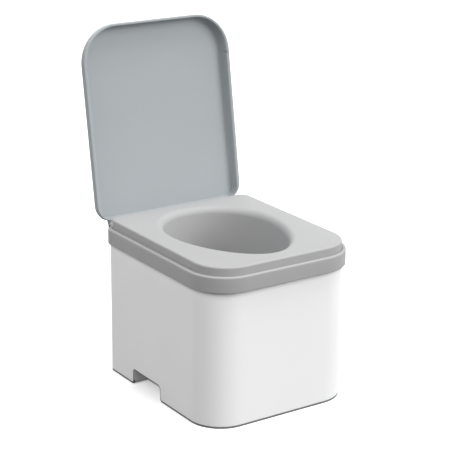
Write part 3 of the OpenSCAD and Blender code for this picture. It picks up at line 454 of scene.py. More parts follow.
# %% The frame's band, shelf and skirt
frame_low, frame_high, shelf_z = 268.3, 300.0, 273.3
lower_r, shoulder_r = 2.2, 3.6
shelf_shape = outline(290.3, -166.9, 166.9, 46.9, 1.5)
rows = profile(frame_shape, arc(lower_r, frame_low + lower_r, lower_r, 270, 180, 6)
               + [(0, z) for z in (275, 286, frame_high - shoulder_r)]
               + arc(shoulder_r, frame_high - shoulder_r, shoulder_r, 180, 90, 8)[1:])
rows += profile(seat_shape, [(-1.9, frame_high), (-1.4, frame_high - 0.2), (-0.6, frame_high - 1.1),
                             (-0.3, frame_high - 2), (-0.3, 285), (-0.3, shelf_z)])
rows += profile(shelf_shape, [(0, shelf_z), (0, frame_low)])
rows += profile(body_shape, [(8.1, frame_low), (8.1, 253), (7.6, 252.3), (5.6, 252.3), (5.1, 253),
                             (5.1, frame_low), (3.85, frame_low), (3.85, 270.3), (0.65, 270.3),
                             (0.65, frame_low)])
band = [skin(rows, loop_rows=True)]
print("the frame's section has", len(rows), "rings")

# %% The hinge's ears on the frame
axis_y, axis_z, hinge_x, barrel_r = 198.2, 292.4, 131.0, 7.2
# Each ear ends in a half circle round the hinge axis and runs forward into the frame
r = barrel_r
ear = rounded([(-12, -r), (r, -r), (r, r), (-12, r)], [1, r - 0.01, r - 0.01, 1], steps=14)
ears = []
for x in (hinge_x - 19.4, hinge_x + 13.4):
    ears += plate(ear + [axis_y, axis_z], x, x + 6, edge=0.9)
band += ears + mirrored(ears)
seat_frame = make("seat_frame_moulding", band)

# %% [markdown]
# ## The seat
# The seat is the piece the eye goes to: a flat top that rolls over into an egg-shaped opening and
# runs down as a funnel with a little draft, so that it leaves the mould. The egg is an ellipse
# whose width grows towards the rear. A 15 mm roll is a quarter circle in section: at the angle a it
# is 15 sin a inside the opening's edge and 15 (1 - cos a) below the top.

# %% The opening's egg and the seat's skin
seat_low, seat_top = 273.3, 316.5
egg_a, egg_b, egg_y, egg_wide = 121.0, 162.0, -0.25, 0.172
roll_r, draft, edge_r, funnel_low, end_r = 15.0, 7.0, 3.5, 188, 1.5
egg_t = np.arctan2((seat_shape[0][:, 1] - egg_y) / egg_b, seat_shape[0][:, 0] / egg_a)
roll_end = 90 - draft
roll_low = seat_top - roll_r * (1 - math.cos(math.radians(roll_end)))


def egg(inset, z, t=egg_t):
    """x = (a - inset) cos t (1 + w sin t), y = y0 + (b - inset) sin t, at the height z."""
    x = (egg_a - inset) * np.cos(t) * (1 + egg_wide * np.sin(t))
    return level(np.column_stack([x, egg_y + (egg_b - inset) * np.sin(t)]), z)


def funnel_in(z):
    """How far the funnel's wall has drawn in at the height z: the roll's reach and the draft."""
    reach = roll_r * math.sin(math.radians(roll_end))
    return reach + (roll_low - z) * math.tan(math.radians(draft))


rows = profile(seat_shape, [(0, z) for z in (seat_low, 285, 300, seat_top - edge_r)]
               + arc(edge_r, seat_top - edge_r, edge_r, 180, 90, 10)[1:] + [(4.1, seat_top)])
rows += [egg(-8, seat_top), egg(-1.2, seat_top)]
rows += [egg(roll_r * math.sin(b), seat_top - roll_r * (1 - math.cos(b)))
         for b in np.radians(np.linspace(0, roll_end, 22))]
rows += [egg(funnel_in(z), z) for z in np.linspace(roll_low, funnel_low + end_r, 14)[1:]]
end_z = funnel_low + end_r
rows += [egg(funnel_in(funnel_low) + end_r - end_r * math.cos(b), end_z - end_r * math.sin(b))
         for b in np.radians((20, 45, 70, 90, 110, 135, 160))]
rows += [egg(funnel_in(z) - 2 * end_r, z) for z in np.linspace(end_z, roll_low - 0.3, 8)]
rows += [egg(12 * math.sin(b), seat_top - roll_r + 11 * math.cos(b))
         for b in np.radians(np.linspace(roll_end, 0, 9)[1:])]
rows += profile(seat_shape, [(4.5, seat_top - 4), (3.5, seat_top - 5), (3.5, seat_low)])
seat_patches = [skin(rows, loop_rows=True)]
print("the opening is", np.ptp(egg(0, seat_top)[:, :2], axis=0).round(1), "mm across and long")

# %% The snap nubs, and the screw bosses underneath
# A nub is the outer 1.1 mm of a round bar, 6.1 mm wide and 7.5 mm tall, which fades at both ends
snap_y, nub_half, nub_low, nub_tall, nub_x = -112.5, 3.05, 300.5, 7.5, 160.45
u, v = np.meshgrid(np.linspace(-1, 1, 17), np.linspace(0, 1, 15), indexing="ij")
across = nub_half * u
rise = np.clip(np.minimum(v / 0.12, (1 - v) / 0.16), 0, 1)
swell = (np.sqrt(22.85 - across ** 2) - 3.68) * np.sqrt(1 - (1 - rise) ** 2)
nub = np.stack([nub_x + swell, snap_y + across, nub_low + nub_tall * v], axis=2).transpose(1, 0, 2)
inside_seat = nub[:, [-1, 0]] - [2, 0, 0]
nub = np.concatenate([nub, inside_seat], axis=1)
nub_patch = [skin(nub), fan(nub[0], up=False), fan(nub[-1])]
seat_patches += nub_patch + mirrored(nub_patch)

boss_at = [(x, y) for x in (-151.85, 151.85) for y in (-95, 0, 95)]
boss_at += [(x, y) for y, half in ((-173.6, 40), (173.6, 80)) for x in (-half, half)]
hole_top, boss_top = seat_low + 14.2, 312.8
boss = [(0, hole_top), (2.1, hole_top), (2.1, seat_low), (3.6, seat_low), (4, seat_low + 0.4),
        (4, boss_top), (0, boss_top)]
seat_patches += [turned(boss, centre=(x, y, 0), steps=32) for x, y in boss_at]
seat = make("seat_moulding", seat_patches)

# %% [markdown]
# ## The lid
# The lid is a shallow tray. Its hollow clears the 16.5 mm high seat when it is shut, so it is 17 mm
# deep at the hinge, and its fillets are small. It is worked out closed, where its outlines are level,
# and then turned back by 99 degrees about the hinge axis. Its inside follows the seat and its
# outside the frame, so its edge is thin at the front and thicker at the sides. Each snap dimple is a
# vertical round scoop in the inner wall, 2 mm deep.

# %% The lid's hollow
def roll_over(shape, r, z, steps):
    """Rings at the angle b: drawn in by r (1 - cos b), and r (1 - sin b) under the height z."""
    return [np.hstack([shape[0] - r * into * shape[1], z - r * under])
            for under, into in quarter(1, steps)]


lid_z, lid_t = 300.3, 25
lid_out = outline(338, -196.5, 188.5, 77, 32)
lid_in = outline(322.8, -191.4, 184.9, 69.6, 19.7)
# The fillet is 10.5 mm at the front, 5.5 mm at the sides and 3 mm at the hinge. Over the last 55 mm
# to the front edge the ceiling also bends down, by 2.6 mm, as a curve of the power 2.2
along_y = lid_in[0][:, 1:2]
near_front = np.clip((-110 - along_y) / 75, 0, 1) ** 1.5
fillet = 3 + 2.5 * np.clip((181 - along_y) / 50, 0, 1) ** 2 + 5.0 * near_front
bend = 6 + 49 * near_front
# Each ring is drawn in by w and lies under the ceiling by a share of the fillet
places = [(1.02 * bend, 0)] + [(fillet + (bend - fillet) * k, 0) for k in (1, 0.8, 0.6, 0.4, 0.2)]
places += [(fillet * (1 + math.cos(b)), 1 - math.sin(b)) for b in np.radians(np.linspace(90, 180, 15))]
rows = []
for w, share in places:
    at = lid_in[0] - w * lid_in[1]
    # Without the bend the ceiling is flat: 22.5 mm deep at the front and 17 mm at the hinge
    ceiling = lid_z + 17 + 5.5 * (185 - at[:, 1:2]) / 376
    bent = 2.6 * near_front * np.clip(1 - w / bend, 0, 1) ** 2.2
    rows.append(np.hstack([at, ceiling - bent - fillet * share]))
rows += profile(lid_in, [(0, z) for z in (308.6, 307.4, 306.2, 305.2, 304.4)])
# The lip's inner edge is rounded by 1 mm at the hinge and the front, and by 3.4 mm at the sides
lip_r = 1 + 2.4 * lid_in[1][:, :1] ** 2 * np.clip((160 - along_y) / 40, 0, 1)
rows += roll_over(lid_in, -lip_r, lid_z, 8)
inner_count = len(rows)
print("the hollow is up to", round(float(np.array(rows)[..., 2].max()) - lid_z, 1), "mm deep")

# %% The lid's outside and its dimples
rows += profile(lid_out, arc(2, lid_z + 2, 2, 270, 180, 7) + [(0, 305), (0, 307)])
# The outer edge's 17 mm rounding tightens to 9 mm at the hinge, so that the wall keeps its thickness
outer_r = 17 - 8 * np.clip((lid_out[0][:, 1:2] - 176) / 11, 0, 1) ** 2
rows += roll_over(lid_out, outer_r, lid_z + lid_t, 20)
rows = np.array(rows + [ring(lid_out, 19, lid_z + lid_t)])
wall = rows[:inner_count]
scoop = np.sqrt(np.clip(6.2 ** 2 - (wall[..., 1] - snap_y) ** 2, 0, None)) - 4.2
low_enough = np.clip((310.5 - wall[..., 2]) / 1.5, 0, 1) * (np.abs(wall[..., 0]) > 160.5)
wall[..., 0] += np.sign(wall[..., 0]) * np.clip(scoop, 0, None) * low_enough
tray = [skin(rows), fan(rows[0], up=False), fan(rows[-1])]
print("the tray has", len(rows), "rings, and its dimples are", round(float(scoop.max()), 1), "mm deep")

# %% The lid's knuckles, and its turn to the open place
knuckle = rounded([(-barrel_r, -barrel_r), (barrel_r, -barrel_r), (barrel_r, 11), (-3.4, 21), (-12, 21),
                   (-12, 8.2), (-barrel_r, 8.2)], [7.1, 7.1, 4, 4, 1.2, 1.2, 0.3], steps=10)
arm = plate(knuckle + [axis_y, axis_z], hinge_x - 13, hinge_x + 13, edge=1.0)
tray += arm + mirrored(arm)
back = math.radians(-99)
turn_open = np.array([[1, 0, 0], [0, math.cos(back), -math.sin(back)],
                      [0, math.sin(back), math.cos(back)]])
pivot = np.array([0, axis_y, axis_z])
tray = [((points - pivot) @ turn_open.T + pivot, fs) for points, fs in tray]
heel = rounded([(-9.9, -5), (-1, -5), (-1, 0), (-9.9, 0)], [1, 1, 0.6, 0.8]) + [axis_y, axis_z]
stop = plate(heel, hinge_x - 12.6, hinge_x + 12.6, edge=0.5, steps=2)
tray += stop + mirrored(stop)
lid = make("lid_moulding", tray)

# %% [markdown]
# ## The diverter
# The diverter is a dish that nests in the front of the funnel and closes it off with a low straight
# wall. Its sides follow the funnel, and its floor falls to a spout that stands in the canister's
# neck. It is one loop of rings that changes from the dish's outline to the spout's circle.

# %% The diverter's dish and spout
spout_at, dish_y, dish_t = np.array([0, -100.0]), -30.0, 2.4
dish_top, dish_low, spout_low = 244.0, 200.0, 150.0


def dish(inset, y, n_arc=150, n_wall=60):
    """The funnel's outline in front of y, drawn in by inset, closed by a straight wall."""
    end = math.asin((y - egg_y) / (egg_b - inset))
    t = np.linspace(-math.pi - end, end, n_arc)
    front = egg(inset, 0, t)[:, :2]
    u = np.linspace(0, 1, n_wall + 2)[1:-1, None]
    return np.vstack([front, front[-1] + u * (front[0] - front[-1])])


def round_spout(points, r):
    """A circle of the radius r round the spout, with one point in the direction of each point."""
    away = points - spout_at
    return spout_at + r * away / np.linalg.norm(away, axis=1)[:, None]


foot_z, gap, fall_by, spout_out, spout_in = dish_low + 14, 0.35, 14, 11, 8.6


def dish_ring(inset, back, z):
    """The dish at the height z: in the funnel by the gap and inset, its wall drawn in by back."""
    return level(dish(funnel_in(z) + gap + inset, dish_y - back), z)


outer = dish(funnel_in(foot_z) + gap, dish_y - gap)
inner = dish(funnel_in(foot_z) + gap + dish_t, dish_y - dish_t)
fall = np.array([0.04, 0.1, 0.2, 0.32, 0.45, 0.6, 0.75, 0.88])
spout = {r: round_spout(dish(0, dish_y), r) for r in (spout_out, 10.2, 9, spout_in)}
rows = [dish_ring(0.4, 0.6, dish_top), dish_ring(0, 0, dish_top - 1), dish_ring(0, gap / 2, 228),
        level(outer, foot_z)]
rows += [level(outer * (1 - f) + spout[spout_out] * f,
               foot_z - dish_t * min(1, f * 4) - fall_by * math.sin(f * math.pi / 2)) for f in fall]
rows += [level(spout[r], z) for r, z in (
    (spout_out, dish_low - dish_t - 4), (spout_out, 170), (spout_out, spout_low + 1), (10.2, spout_low),
    (9, spout_low), (spout_in, spout_low + 1), (spout_in, 170), (spout_in, dish_low - 3))]
rows += [level(inner * (1 - f) + spout[spout_in] * f, foot_z - fall_by * math.sin(f * math.pi / 2))
         for f in fall[::-1]]
rows += [level(inner, foot_z + 3), dish_ring(dish_t, dish_t, 228),
         dish_ring(dish_t, dish_t, dish_top - 1), dish_ring(dish_t - 0.6, dish_t - 0.6, dish_top)]
diverter = make("diverter_moulding", [skin(rows[::-1], loop_rows=True)])

# %% [markdown]
# ## The canister
# The canister is blown from natural polyethylene: soft edges of 14 mm, an even wall and a fine
# raised line where the two halves of the mould met. Its rings run from the middle of its base up
# the outside, in to the neck, over the neck's rim and back down the inside, so that it is hollow.

# %% The canister with its neck
can_shape = outline(300, -176, -42, 54, 22, corner=20, side=np.linspace(0, 1, 9), end=41)
can_low, can_top, neck_top, can_r, can_wall = 5.3, 142.0, 164.0, 14, 2.5
middle_z = (can_low + can_top) / 2
rows = profile(can_shape, [(16, can_low)] + arc(can_r, can_low + can_r, can_r, 270, 180, 10)
               + [(0, middle_z - 1), (-0.35, middle_z - 0.3), (-0.35, middle_z + 0.3), (0, middle_z + 1)]
               + arc(can_r, can_top - can_r, can_r, 180, 90, 10) + [(15, can_top)])
neck = [(31, can_top), (30, can_top)]
neck += [(30 - 3 * math.sin(b), can_top + 3 - 3 * math.cos(b)) for b in np.radians((20, 45, 70, 90))]
neck += [(27, neck_top - 1), (26, neck_top), (24.3, neck_top), (23.5, neck_top - 0.8),
         (23.5, can_top - can_wall)]
rows += [level(round_spout(can_shape[0], r), z) for r, z in neck]
rows += profile(can_shape, arc(can_r, can_top - can_r, can_r - can_wall, 90, 180, 6)
                + arc(can_r, can_low + can_r, can_r - can_wall, 180, 270, 6))
canister_patches = [skin(rows), fan(rows[0], up=False), fan(rows[-1])]
handle_x, handle_y = 96.0, -106.0
for y in (handle_y - 38, handle_y + 38):
    y0, y1 = y - 3.5, y + 3.5
    lug = rounded([(y0, 141), (y1, 141), (y1, 153), (y0, 153)], [0.6, 0.6, 1.5, 1.5])
    canister_patches += plate(lug, handle_x - 3, handle_x + 3, edge=0.5, steps=2)
canister = make("canister_blow_moulding", canister_patches)

# %% [markdown]
# ## The handle and the screw ring
# The handle is a flat arch with soft edges, so it is a plate. The ring is turned, with 24 flutes
# for the fingers: each radius is drawn in by its share of a wave round the rim.

# %% The canister's handle and its screw ring
arch = rounded([(-44, 0), (-32, 0), (-32, 24), (32, 24), (32, 0), (44, 0), (44, 36), (-44, 36)],
               [2.8, 2.8, 4, 4, 2.8, 2.8, 12, 12], steps=10) + [handle_y, can_top + 0.02]
handle = make("canister_handle_moulding", plate(arch, handle_x - 8, handle_x + 8, edge=2.6, steps=6))

flutes, flute_depth = 24, 1.25
flute_t = np.linspace(0, 2 * math.pi, flutes * 12, endpoint=False)
flute = flute_depth * np.clip(np.cos(flutes * flute_t), 0, 1) ** 2
# The ring's section, as (radius, height, share of the flutes' depth)
ring_profile = [(27.3, 148.4, 0), (28, 148, 0), (31.6, 148, 0), (32.3, 148.7, 1), (32.3, 156, 1),
                (32.3, 166.4, 1), (31.5, 168.4, 0.8), (29.6, 169.5, 0.3), (28, 169.7, 0),
                (15.6, 169.7, 0), (15, 169.1, 0), (15, 166.2, 0), (15.6, 165.7, 0), (27.3, 165.7, 0)]
rim = np.column_stack([np.cos(flute_t), np.sin(flute_t)])
rows = [level(spout_at + (r - k * flute[:, None]) * rim, z) for r, z, k in ring_profile]
screw_ring = make("screw_ring_moulding", [skin(rows, loop_rows=True)])

# %% [markdown]
# ## The bucket
# The bucket takes the solids in a bag, which the ring clamps on its flange. Its walls lean in
# towards the base by 14 mm, so that it leaves its mould and clears the grips' boxes.

# %% The bucket and its bag ring
mouth = outline(272, -34, 170, 40, 40, corner=20, side=np.linspace(0, 1, 25), end=29)
bucket_low, bucket_top, bucket_r, bucket_wall, lean = 5.3, 180.0, 8, 3, 14.0158


def bucket_profile(pairs):
    """Rings of the mouth, drawn in by inset and by the lean that is left above the height z."""
    return [ring(mouth, inset + lean * (bucket_top - z) / (bucket_top - bucket_low), z)
            for inset, z in pairs]


rows = bucket_profile([(9, bucket_low)] + arc(bucket_r, bucket_low + bucket_r, bucket_r, 270, 180, 8)
                      + [(0, 60), (0, 120), (0, 172), (-0.5, 174.6), (-2, 177), (-6.4, 177), (-7, 177.6),
                         (-7, 179.2), (-6.2, 180), (0.4, 180), (2, 179.4), (3, 178), (3, 120), (3, 60)]
                      + arc(bucket_r, bucket_low + bucket_r, bucket_r - bucket_wall, 180, 270, 8)
                      + [(10, bucket_low + bucket_wall)])
bucket_patches = [skin(rows), fan(rows[0], up=False), fan(rows[-1])]
bail_y, bail_z = 68.0, 165.0
eyelet = [turned([(0, 133), (8, 133), (8, 141.7), (7.2, 142.5), (2.56, 142.5), (2.56, 135.3),
                  (0, 135.3)], centre=(0, bail_y, bail_z), axis="x", steps=48)]
bucket_patches += eyelet + mirrored(eyelet)
bucket = make("bucket_moulding", bucket_patches)

rows = profile(mouth, [(-7.4, 178), (-9, 178), (-9, 182.3)] + arc(-7.8, 182.3, 1.2, 180, 90, 4)[1:]
               + [(0.8, 183.5)] + arc(0.8, 182.3, 1.2, 90, 0, 4)[1:] + [(2, 180.05), (-7.4, 180.05)])
bag_ring = make("bag_ring_moulding", [skin(rows, loop_rows=True)])

# %% [markdown]
# ## The bail and its grip
# The wire bail is one rod bent round the front, so it is a circle carried along a path, square to it
# everywhere. The grip is a turned tube with shallow grooves for the fingers.

# %% The bail and its grip
wire_r, arm_x, cross_y, bend_r, elbow_r = 2.5, 149.5, bail_y - 123.0, 14.0, 3.5
half_path = [(0, cross_y), (arm_x - bend_r, cross_y)]
half_path += arc(arm_x - bend_r, cross_y + bend_r, bend_r, -90, 0, 10)[1:]
half_path += [(arm_x, 20), (arm_x, bail_y - elbow_r)]
half_path += arc(arm_x - elbow_r, bail_y - elbow_r, elbow_r, 0, 90, 6)[1:] + [(135.5, bail_y)]
half_path = np.array(half_path)
path = np.vstack([half_path[:0:-1] * [-1, 1], half_path])
along = np.gradient(path, axis=0)
along /= np.linalg.norm(along, axis=1)[:, None]
t = np.linspace(0, 2 * math.pi, 20, endpoint=False)
side_way = np.column_stack([along[:, 1], -along[:, 0]])
rows = np.stack([path[:, None, 0] + wire_r * np.cos(t) * side_way[:, None, 0],
                 path[:, None, 1] + wire_r * np.cos(t) * side_way[:, None, 1],
                 bail_z + wire_r * np.sin(t) + 0 * path[:, None, 0]], axis=2)
bail = make("bail_wire", [skin(rows[::-1]), fan(rows[-1], up=False), fan(rows[0])])

# The tube's ends are rounded by 2.5 mm, and its grooves are 8 mm apart and 0.45 mm deep
x = np.linspace(-46, 46, 116)
grip_r = 8 - 0.45 * (0.5 - 0.5 * np.cos(2 * math.pi * x / 8)) ** 3
end_pairs = [(5.5 + 2.5 * math.sin(b), 45.5 + 2.5 * math.cos(b)) for b in np.radians((60, 30))]
end_pairs += [(5.5, 48), (2.56, 48)]
grip_pairs = [(r, -h) for r, h in end_pairs[::-1]] + list(zip(grip_r, x * 45.5 / 46)) + end_pairs
grip_tube = turned(grip_pairs, centre=(0, cross_y, bail_z), axis="x", steps=48, closed=True)
bail_grip = make("bail_grip_moulding", [grip_tube])

# %% [markdown]
# ## The feet
# Four turned rubber discs stand in the body's recesses. Two fine grooves keep each from sticking to
# a wet floor.

# %% The feet
foot_profile = [(0, 0), (3, 0), (3.3, 0.5), (4.2, 0.5), (4.5, 0), (6.5, 0), (6.8, 0.5), (7.7, 0.5),
                (8, 0), (11.2, 0), (12, 0.7), (12, foot_tall), (0, foot_tall)]
feet = make("rubber_feet", [turned(foot_profile, centre=(x, y, 0)) for x, y in foot_at])

# %% [markdown]
# ## Materials
# Moulded plastic is one colour all through. What the eye reads is its surface: a fine grain from
# the spark-eroded mould, a roughness that drifts a little where the melt flowed, and a soft sheen.
# A small function adds each node, and every pattern is scaled from a real size in millimetres.

# %% Colours and one function that adds a node
def linear(hex_colour):
    """An sRGB hex colour as the linear values that nodes use."""
    c = np.array([int(hex_colour[i:i + 2], 16) for i in (1, 3, 5)]) / 255
    c = np.where(c <= 0.04045, c / 12.92, ((c + 0.055) / 1.055) ** 2.4)
    return (*c, 1.0)


def add(tree, kind, links=None, **settings):
    """Adds a node, sets its sockets (by name) or its properties, and links other sockets into it."""
    node = tree.nodes.new(kind)
    for name, value in settings.items():
        label = name.replace("_", " ")
        sockets = [s for s in node.inputs if s.name.lower() == label.lower()]
        if sockets:
            sockets[0].default_value = value
        else:
            setattr(node, name, value)
    for name, source in (links or {}).items():
        tree.links.new(source, node.inputs[name])
    return node


def empty_tree(owner):
    """The node tree of a material or of the world, with nothing in it."""
    owner.use_nodes = True
    owner.node_tree.nodes.clear()
    return owner.node_tree


print("the grey #808080 is", round(float(linear("#808080")[0]), 3), "in linear light")

# %% [markdown]
# ## One finish for all of them
# Every finish has the same build. A slow noise shifts the colour and the roughness a little, as melt
# that cooled unevenly does, and small cells in the bump stand for the mould's grain. Only colours,
# sheen and sizes differ, so one function makes them all.

# %% A plain finish from its colour, sheen and grain
def finish(name, colour, drift, rough, rough_drift, grain_mm, grain_depth_mm, flow_mm=120, **shader):
    """Colour and roughness drift over flow_mm, and a bump grain has cells of grain_mm."""
    material = bpy.data.materials.new(name)
    tree = empty_tree(material)
    place = add(tree, "ShaderNodeTexCoord").outputs["Object"]
    flow = add(tree, "ShaderNodeTexNoise", {"Vector": place}, Scale=1000 / flow_mm, Detail=3.0,
               Roughness=0.55)
    tone = add(tree, "ShaderNodeMix", {"Factor": flow.outputs["Fac"]}, data_type="RGBA")
    tone.inputs["A"].default_value, tone.inputs["B"].default_value = linear(colour), linear(drift)
    sheen = add(tree, "ShaderNodeMapRange", {"Value": flow.outputs["Fac"]}, From_Min=0.3, From_Max=0.7,
                To_Min=rough - rough_drift, To_Max=rough + rough_drift)
    grain = add(tree, "ShaderNodeTexVoronoi", {"Vector": place}, Scale=1000 / grain_mm,
                feature="SMOOTH_F1")
    bump = add(tree, "ShaderNodeBump", {"Height": grain.outputs["Distance"]}, Strength=1.0,
               Distance=grain_depth_mm * MM)
    surface = add(tree, "ShaderNodeBsdfPrincipled", {"Base Color": tone.outputs["Result"],
                  "Roughness": sheen.outputs["Result"], "Normal": bump.outputs["Normal"]}, **shader)
    add(tree, "ShaderNodeOutputMaterial", {"Surface": surface.outputs["BSDF"]})
    print("made the material", name)
    return material


# %% The plastics
# ABS, injection moulded in a spark-eroded mould: satin white, even, with a grain of about 1 mm.
satin = {"IOR": 1.54, "Specular_IOR_Level": 0.2}
white_abs = finish("white_moulded_ABS", "#F4F4F4", "#F1F1F2", 0.58, 0.04, 1.1, 0.010, **satin)
# The same ABS coloured light grey, for the frame and the seat.
grey_abs = finish("grey_moulded_ABS", "#A5A5A5", "#A2A2A3", 0.60, 0.04, 1.1, 0.010, **satin)
# The lid's ABS has a cooler tint, from a batch of its own.
cool_abs = finish("cool_grey_moulded_ABS", "#A2A7AA", "#9FA4A7", 0.60, 0.04, 1.1, 0.010, **satin)
# Polypropylene, moulded glossier, so that the dish rinses clean.
grey_pp = finish("grey_moulded_polypropylene", "#A4A8AC", "#9FA3A8", 0.30, 0.03, 2.0, 0.006, IOR=1.49)
# Natural high-density polyethylene, blown: milky, waxy and a little wavy.
natural_pe = finish("natural_blown_polyethylene", "#E3E5DF", "#DADDD6", 0.38, 0.05, 9.0, 0.08, IOR=1.54,
                    Subsurface_Weight=0.25, Subsurface_Scale=0.006)
# Polypropylene, moulded light grey with a coarse grain, for the bucket.
light_pp = finish("light_moulded_polypropylene", "#D2D4D5", "#CCCED0", 0.40, 0.04, 1.6, 0.015, IOR=1.49)
# Glass-filled nylon: dark, matt and slightly streaked.
dark_nylon = finish("dark_moulded_nylon", "#3A3D41", "#33363A", 0.50, 0.05, 1.2, 0.02, flow_mm=30,
                    IOR=1.53)

# %% The rubbers and the metals
# A mid grey, matt and even: painted shade for the dark strip round the body's foot.
foot_shade_grey = finish("painted_shade_grey_strip", "#6E7072", "#696B6D", 0.72, 0.04, 0.8, 0.010, flow_mm=60,
                  IOR=1.50, Specular_IOR_Level=0.2)
# Nitrile rubber, moulded: black and dull.
rubber = finish("black_moulded_rubber", "#1D1D1F", "#242427", 0.78, 0.05, 0.9, 0.03, IOR=1.52)
# Acetal, turned: black with a fine sheen.
acetal = finish("black_turned_acetal", "#19191B", "#1F1F22", 0.36, 0.04, 0.8, 0.004, IOR=1.48)
# Stainless wire and pins, drawn: bright, with a fine uneven grain from the die.
steel = finish("drawn_stainless_steel", "#C3C6C9", "#B7BABE", 0.30, 0.06, 0.7, 0.006, Metallic=1.0)
# The hinge pins' steel is dark, so that their heads don't shine beside the grey plastic: painted shade
# for the shaded corner at the hinge.
dark_pin_steel = finish("painted_shade_pin_steel", "#3B3D40", "#333538", 0.48, 0.06, 0.7, 0.006, Metallic=1.0)

# %% [markdown]
# ## Putting the pieces on their bodies
# Each new piece rides on the moving body that its CAD node belongs to and takes that node's place.
# Small round parts are already right in the CAD model, so they stay and only get their material.

# %% Ride, replace and paint
# Each row is (piece, body it rides on, CAD node it replaces, material slot, material)
new_pieces = [
    (body, "base", "body_shell", "body", white_abs),
    (feet, "base", "foot_pads", "rubber", rubber),
    (seat_frame, "seat_unit", "seat_frame", "seat_unit", grey_abs),
    (seat, "seat_unit", "seat", "seat_unit", grey_abs),
    (diverter, "seat_unit", "diverter", "diverter", grey_pp),
    (lid, "lid", "lid", "seat_unit", cool_abs),
    (canister, "canister", "canister", "canister", natural_pe),
    (handle, "canister", "canister_handle", "dark_plastic", dark_nylon),
    (screw_ring, "ring", "screw_ring", "dark_plastic", dark_nylon),
    (bucket, "bucket", "bucket", "bucket", light_pp),
    (bag_ring, "bucket", "bag_ring", "dark_plastic", dark_nylon),
    (bail, "bail", "bail", "steel", steel),
    (bail_grip, "bail", "bail_grip", "dark_plastic", dark_nylon)]
for piece, carrier, node, slot, material in new_pieces:
    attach(piece, carrier)
    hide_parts(node)
    piece.data.materials.append(material)
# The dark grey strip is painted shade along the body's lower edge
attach(shade_strip, "base")
shade_strip.data.materials.append(foot_shade_grey)
# The hinge pins take the dark steel, which is painted shade at the hinge corner
kept_nodes = {"rim_seal": rubber, "spout_seal": rubber, "seat_screws": steel, "hinge_pins": dark_pin_steel,
              "pin_clips": steel, "handle_pins": steel, "hinge_bushes": acetal}
for node, material in kept_nodes.items():
    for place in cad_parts[node].material_slots:
        place.material = material
print("new pieces:", len(new_pieces), "and CAD nodes kept:", len(kept_nodes))

# %% [markdown]
# ## The floor
# The floor is pale paper for the camera and in gloss. For the rays that light other surfaces it is
# dark, or it would brighten the band's underside, which is shaded in the photograph. It keeps the
# toilet's shadow.

# %% The floor
floor_rows = [[(-6000, y, 0), (6000, y, 0)] for y in np.linspace(-6000, 6000, 7)]
floor = make("studio_floor", [skin(floor_rows, loop_points=False)])
paper = bpy.data.materials.new("pale_studio_paper")
tree = empty_tree(paper)
place = add(tree, "ShaderNodeTexCoord").outputs["Object"]
fibre = add(tree, "ShaderNodeTexNoise", {"Vector": place}, Scale=400.0)


def matt_paper(light, dark, glow):
    """A matt surface whose colour changes between two tones with the paper's fibre."""
    tint = add(tree, "ShaderNodeMix", {"Factor": fibre.outputs["Fac"]}, data_type="RGBA")
    tint.inputs["A"].default_value, tint.inputs["B"].default_value = linear(light), linear(dark)
    return add(tree, "ShaderNodeBsdfPrincipled", {"Base Color": tint.outputs["Result"]}, Roughness=0.9,
               Specular_IOR_Level=0.1, Emission_Color=(1, 1, 1, 1), Emission_Strength=glow)


def seen_directly(tree):
    """1 for camera, glossy and transmission rays, and 0 for the rays that light other surfaces."""
    ray = add(tree, "ShaderNodeLightPath")
    either = add(tree, "ShaderNodeMath", {0: ray.outputs["Is Camera Ray"],
                                          1: ray.outputs["Is Glossy Ray"]}, operation="MAXIMUM")
    return add(tree, "ShaderNodeMath", {0: either.outputs[0], 1: ray.outputs["Is Transmission Ray"]},
               operation="MAXIMUM").outputs[0]


pale, dim = matt_paper("#F4F4F4", "#F7F7F7", 0.3), matt_paper("#3A3A3A", "#3E3E3E", 0.0)
both = add(tree, "ShaderNodeMixShader", {0: seen_directly(tree), 1: dim.outputs["BSDF"],
                                         2: pale.outputs["BSDF"]})
add(tree, "ShaderNodeOutputMaterial", {"Surface": both.outputs["Shader"]})
floor.data.materials.append(paper)

# %% [markdown]
# ## The light
# The light comes mostly from above, some from the front right and least from the left. Four soft
# lamps and a weak white surround give that. A SUN lamp lights every spot alike, and its angle says
# how soft its shadows are.

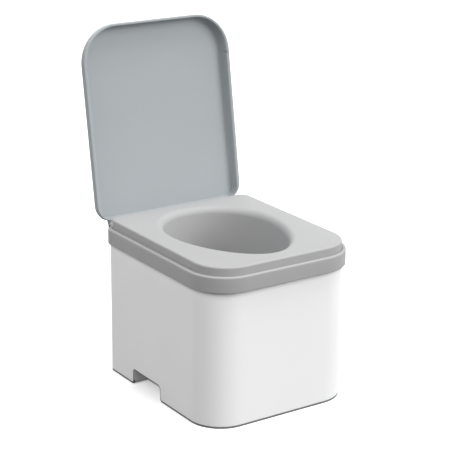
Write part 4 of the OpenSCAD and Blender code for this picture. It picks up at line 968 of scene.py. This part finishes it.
# %% The surround and the lamps
world = bpy.data.worlds.new("white_surround")
bpy.context.scene.world = world
tree = empty_tree(world)
strength = add(tree, "ShaderNodeMapRange", {"Value": seen_directly(tree)}, To_Min=0.46, To_Max=1.0)
sky = add(tree, "ShaderNodeBackground", {"Strength": strength.outputs["Result"]})
sky.inputs["Color"].default_value = (1, 1, 1, 1)
add(tree, "ShaderNodeOutputWorld", {"Surface": sky.outputs["Background"]})


def soft_light(name, level, towards_light, spread):
    """A distant soft light: level is the brightness it gives a white surface that faces it."""
    data = bpy.data.lights.new(name, "SUN")
    data.energy, data.angle = level * math.pi, math.radians(spread)
    linked(name, data).rotation_euler = Vector(towards_light).to_track_quat("Z", "Y").to_euler()
    print("lamp", name, "at the level", level)


soft_light("top_soft_box", 0.57, (0.34, 0.0, 0.94), 45)
soft_light("front_right_soft_box", 0.72, (0.44, -0.77, 0.47), 45)
soft_light("left_soft_box", 0.41, (-0.69, -0.02, 0.72), 45)
# A weak one behind shows the back and hardly changes the front
soft_light("rear_soft_box", 0.34, (0.12, 0.97, 0.20), 45)

# %% [markdown]
# ## The camera
# The camera stands where the photograph's perspective puts it: about 34 degrees to the left of the
# front and 18 degrees up, with a 127 mm lens on a 36 mm sensor, and rolled by under half a degree.

# %% The camera
azimuth, elevation, roll = math.radians(-33.89), math.radians(17.98), math.radians(0.44)
camera_at = (-1.6178, -2.3932, 1.2625)
behind = np.array([math.sin(azimuth) * math.cos(elevation), -math.cos(azimuth) * math.cos(elevation),
                   math.sin(elevation)])
across_view = np.array([math.cos(azimuth), math.sin(azimuth), 0])
above = np.cross(behind, across_view)
right_way = math.cos(roll) * across_view + math.sin(roll) * above
up_way = math.cos(roll) * above - math.sin(roll) * across_view
camera_data = bpy.data.cameras.new("product_camera")
camera_data.sensor_width, camera_data.lens = 36.0, 126.77
camera = linked("product_camera", camera_data)
directions = np.column_stack([right_way, up_way, behind])
camera.matrix_world = Matrix.Translation(camera_at) @ Matrix(directions.tolist()).to_4x4()
bpy.context.scene.camera = camera
bpy.context.scene.view_settings.view_transform = "Standard"
print("the camera looks from", [round(v, 3) for v in camera.location])
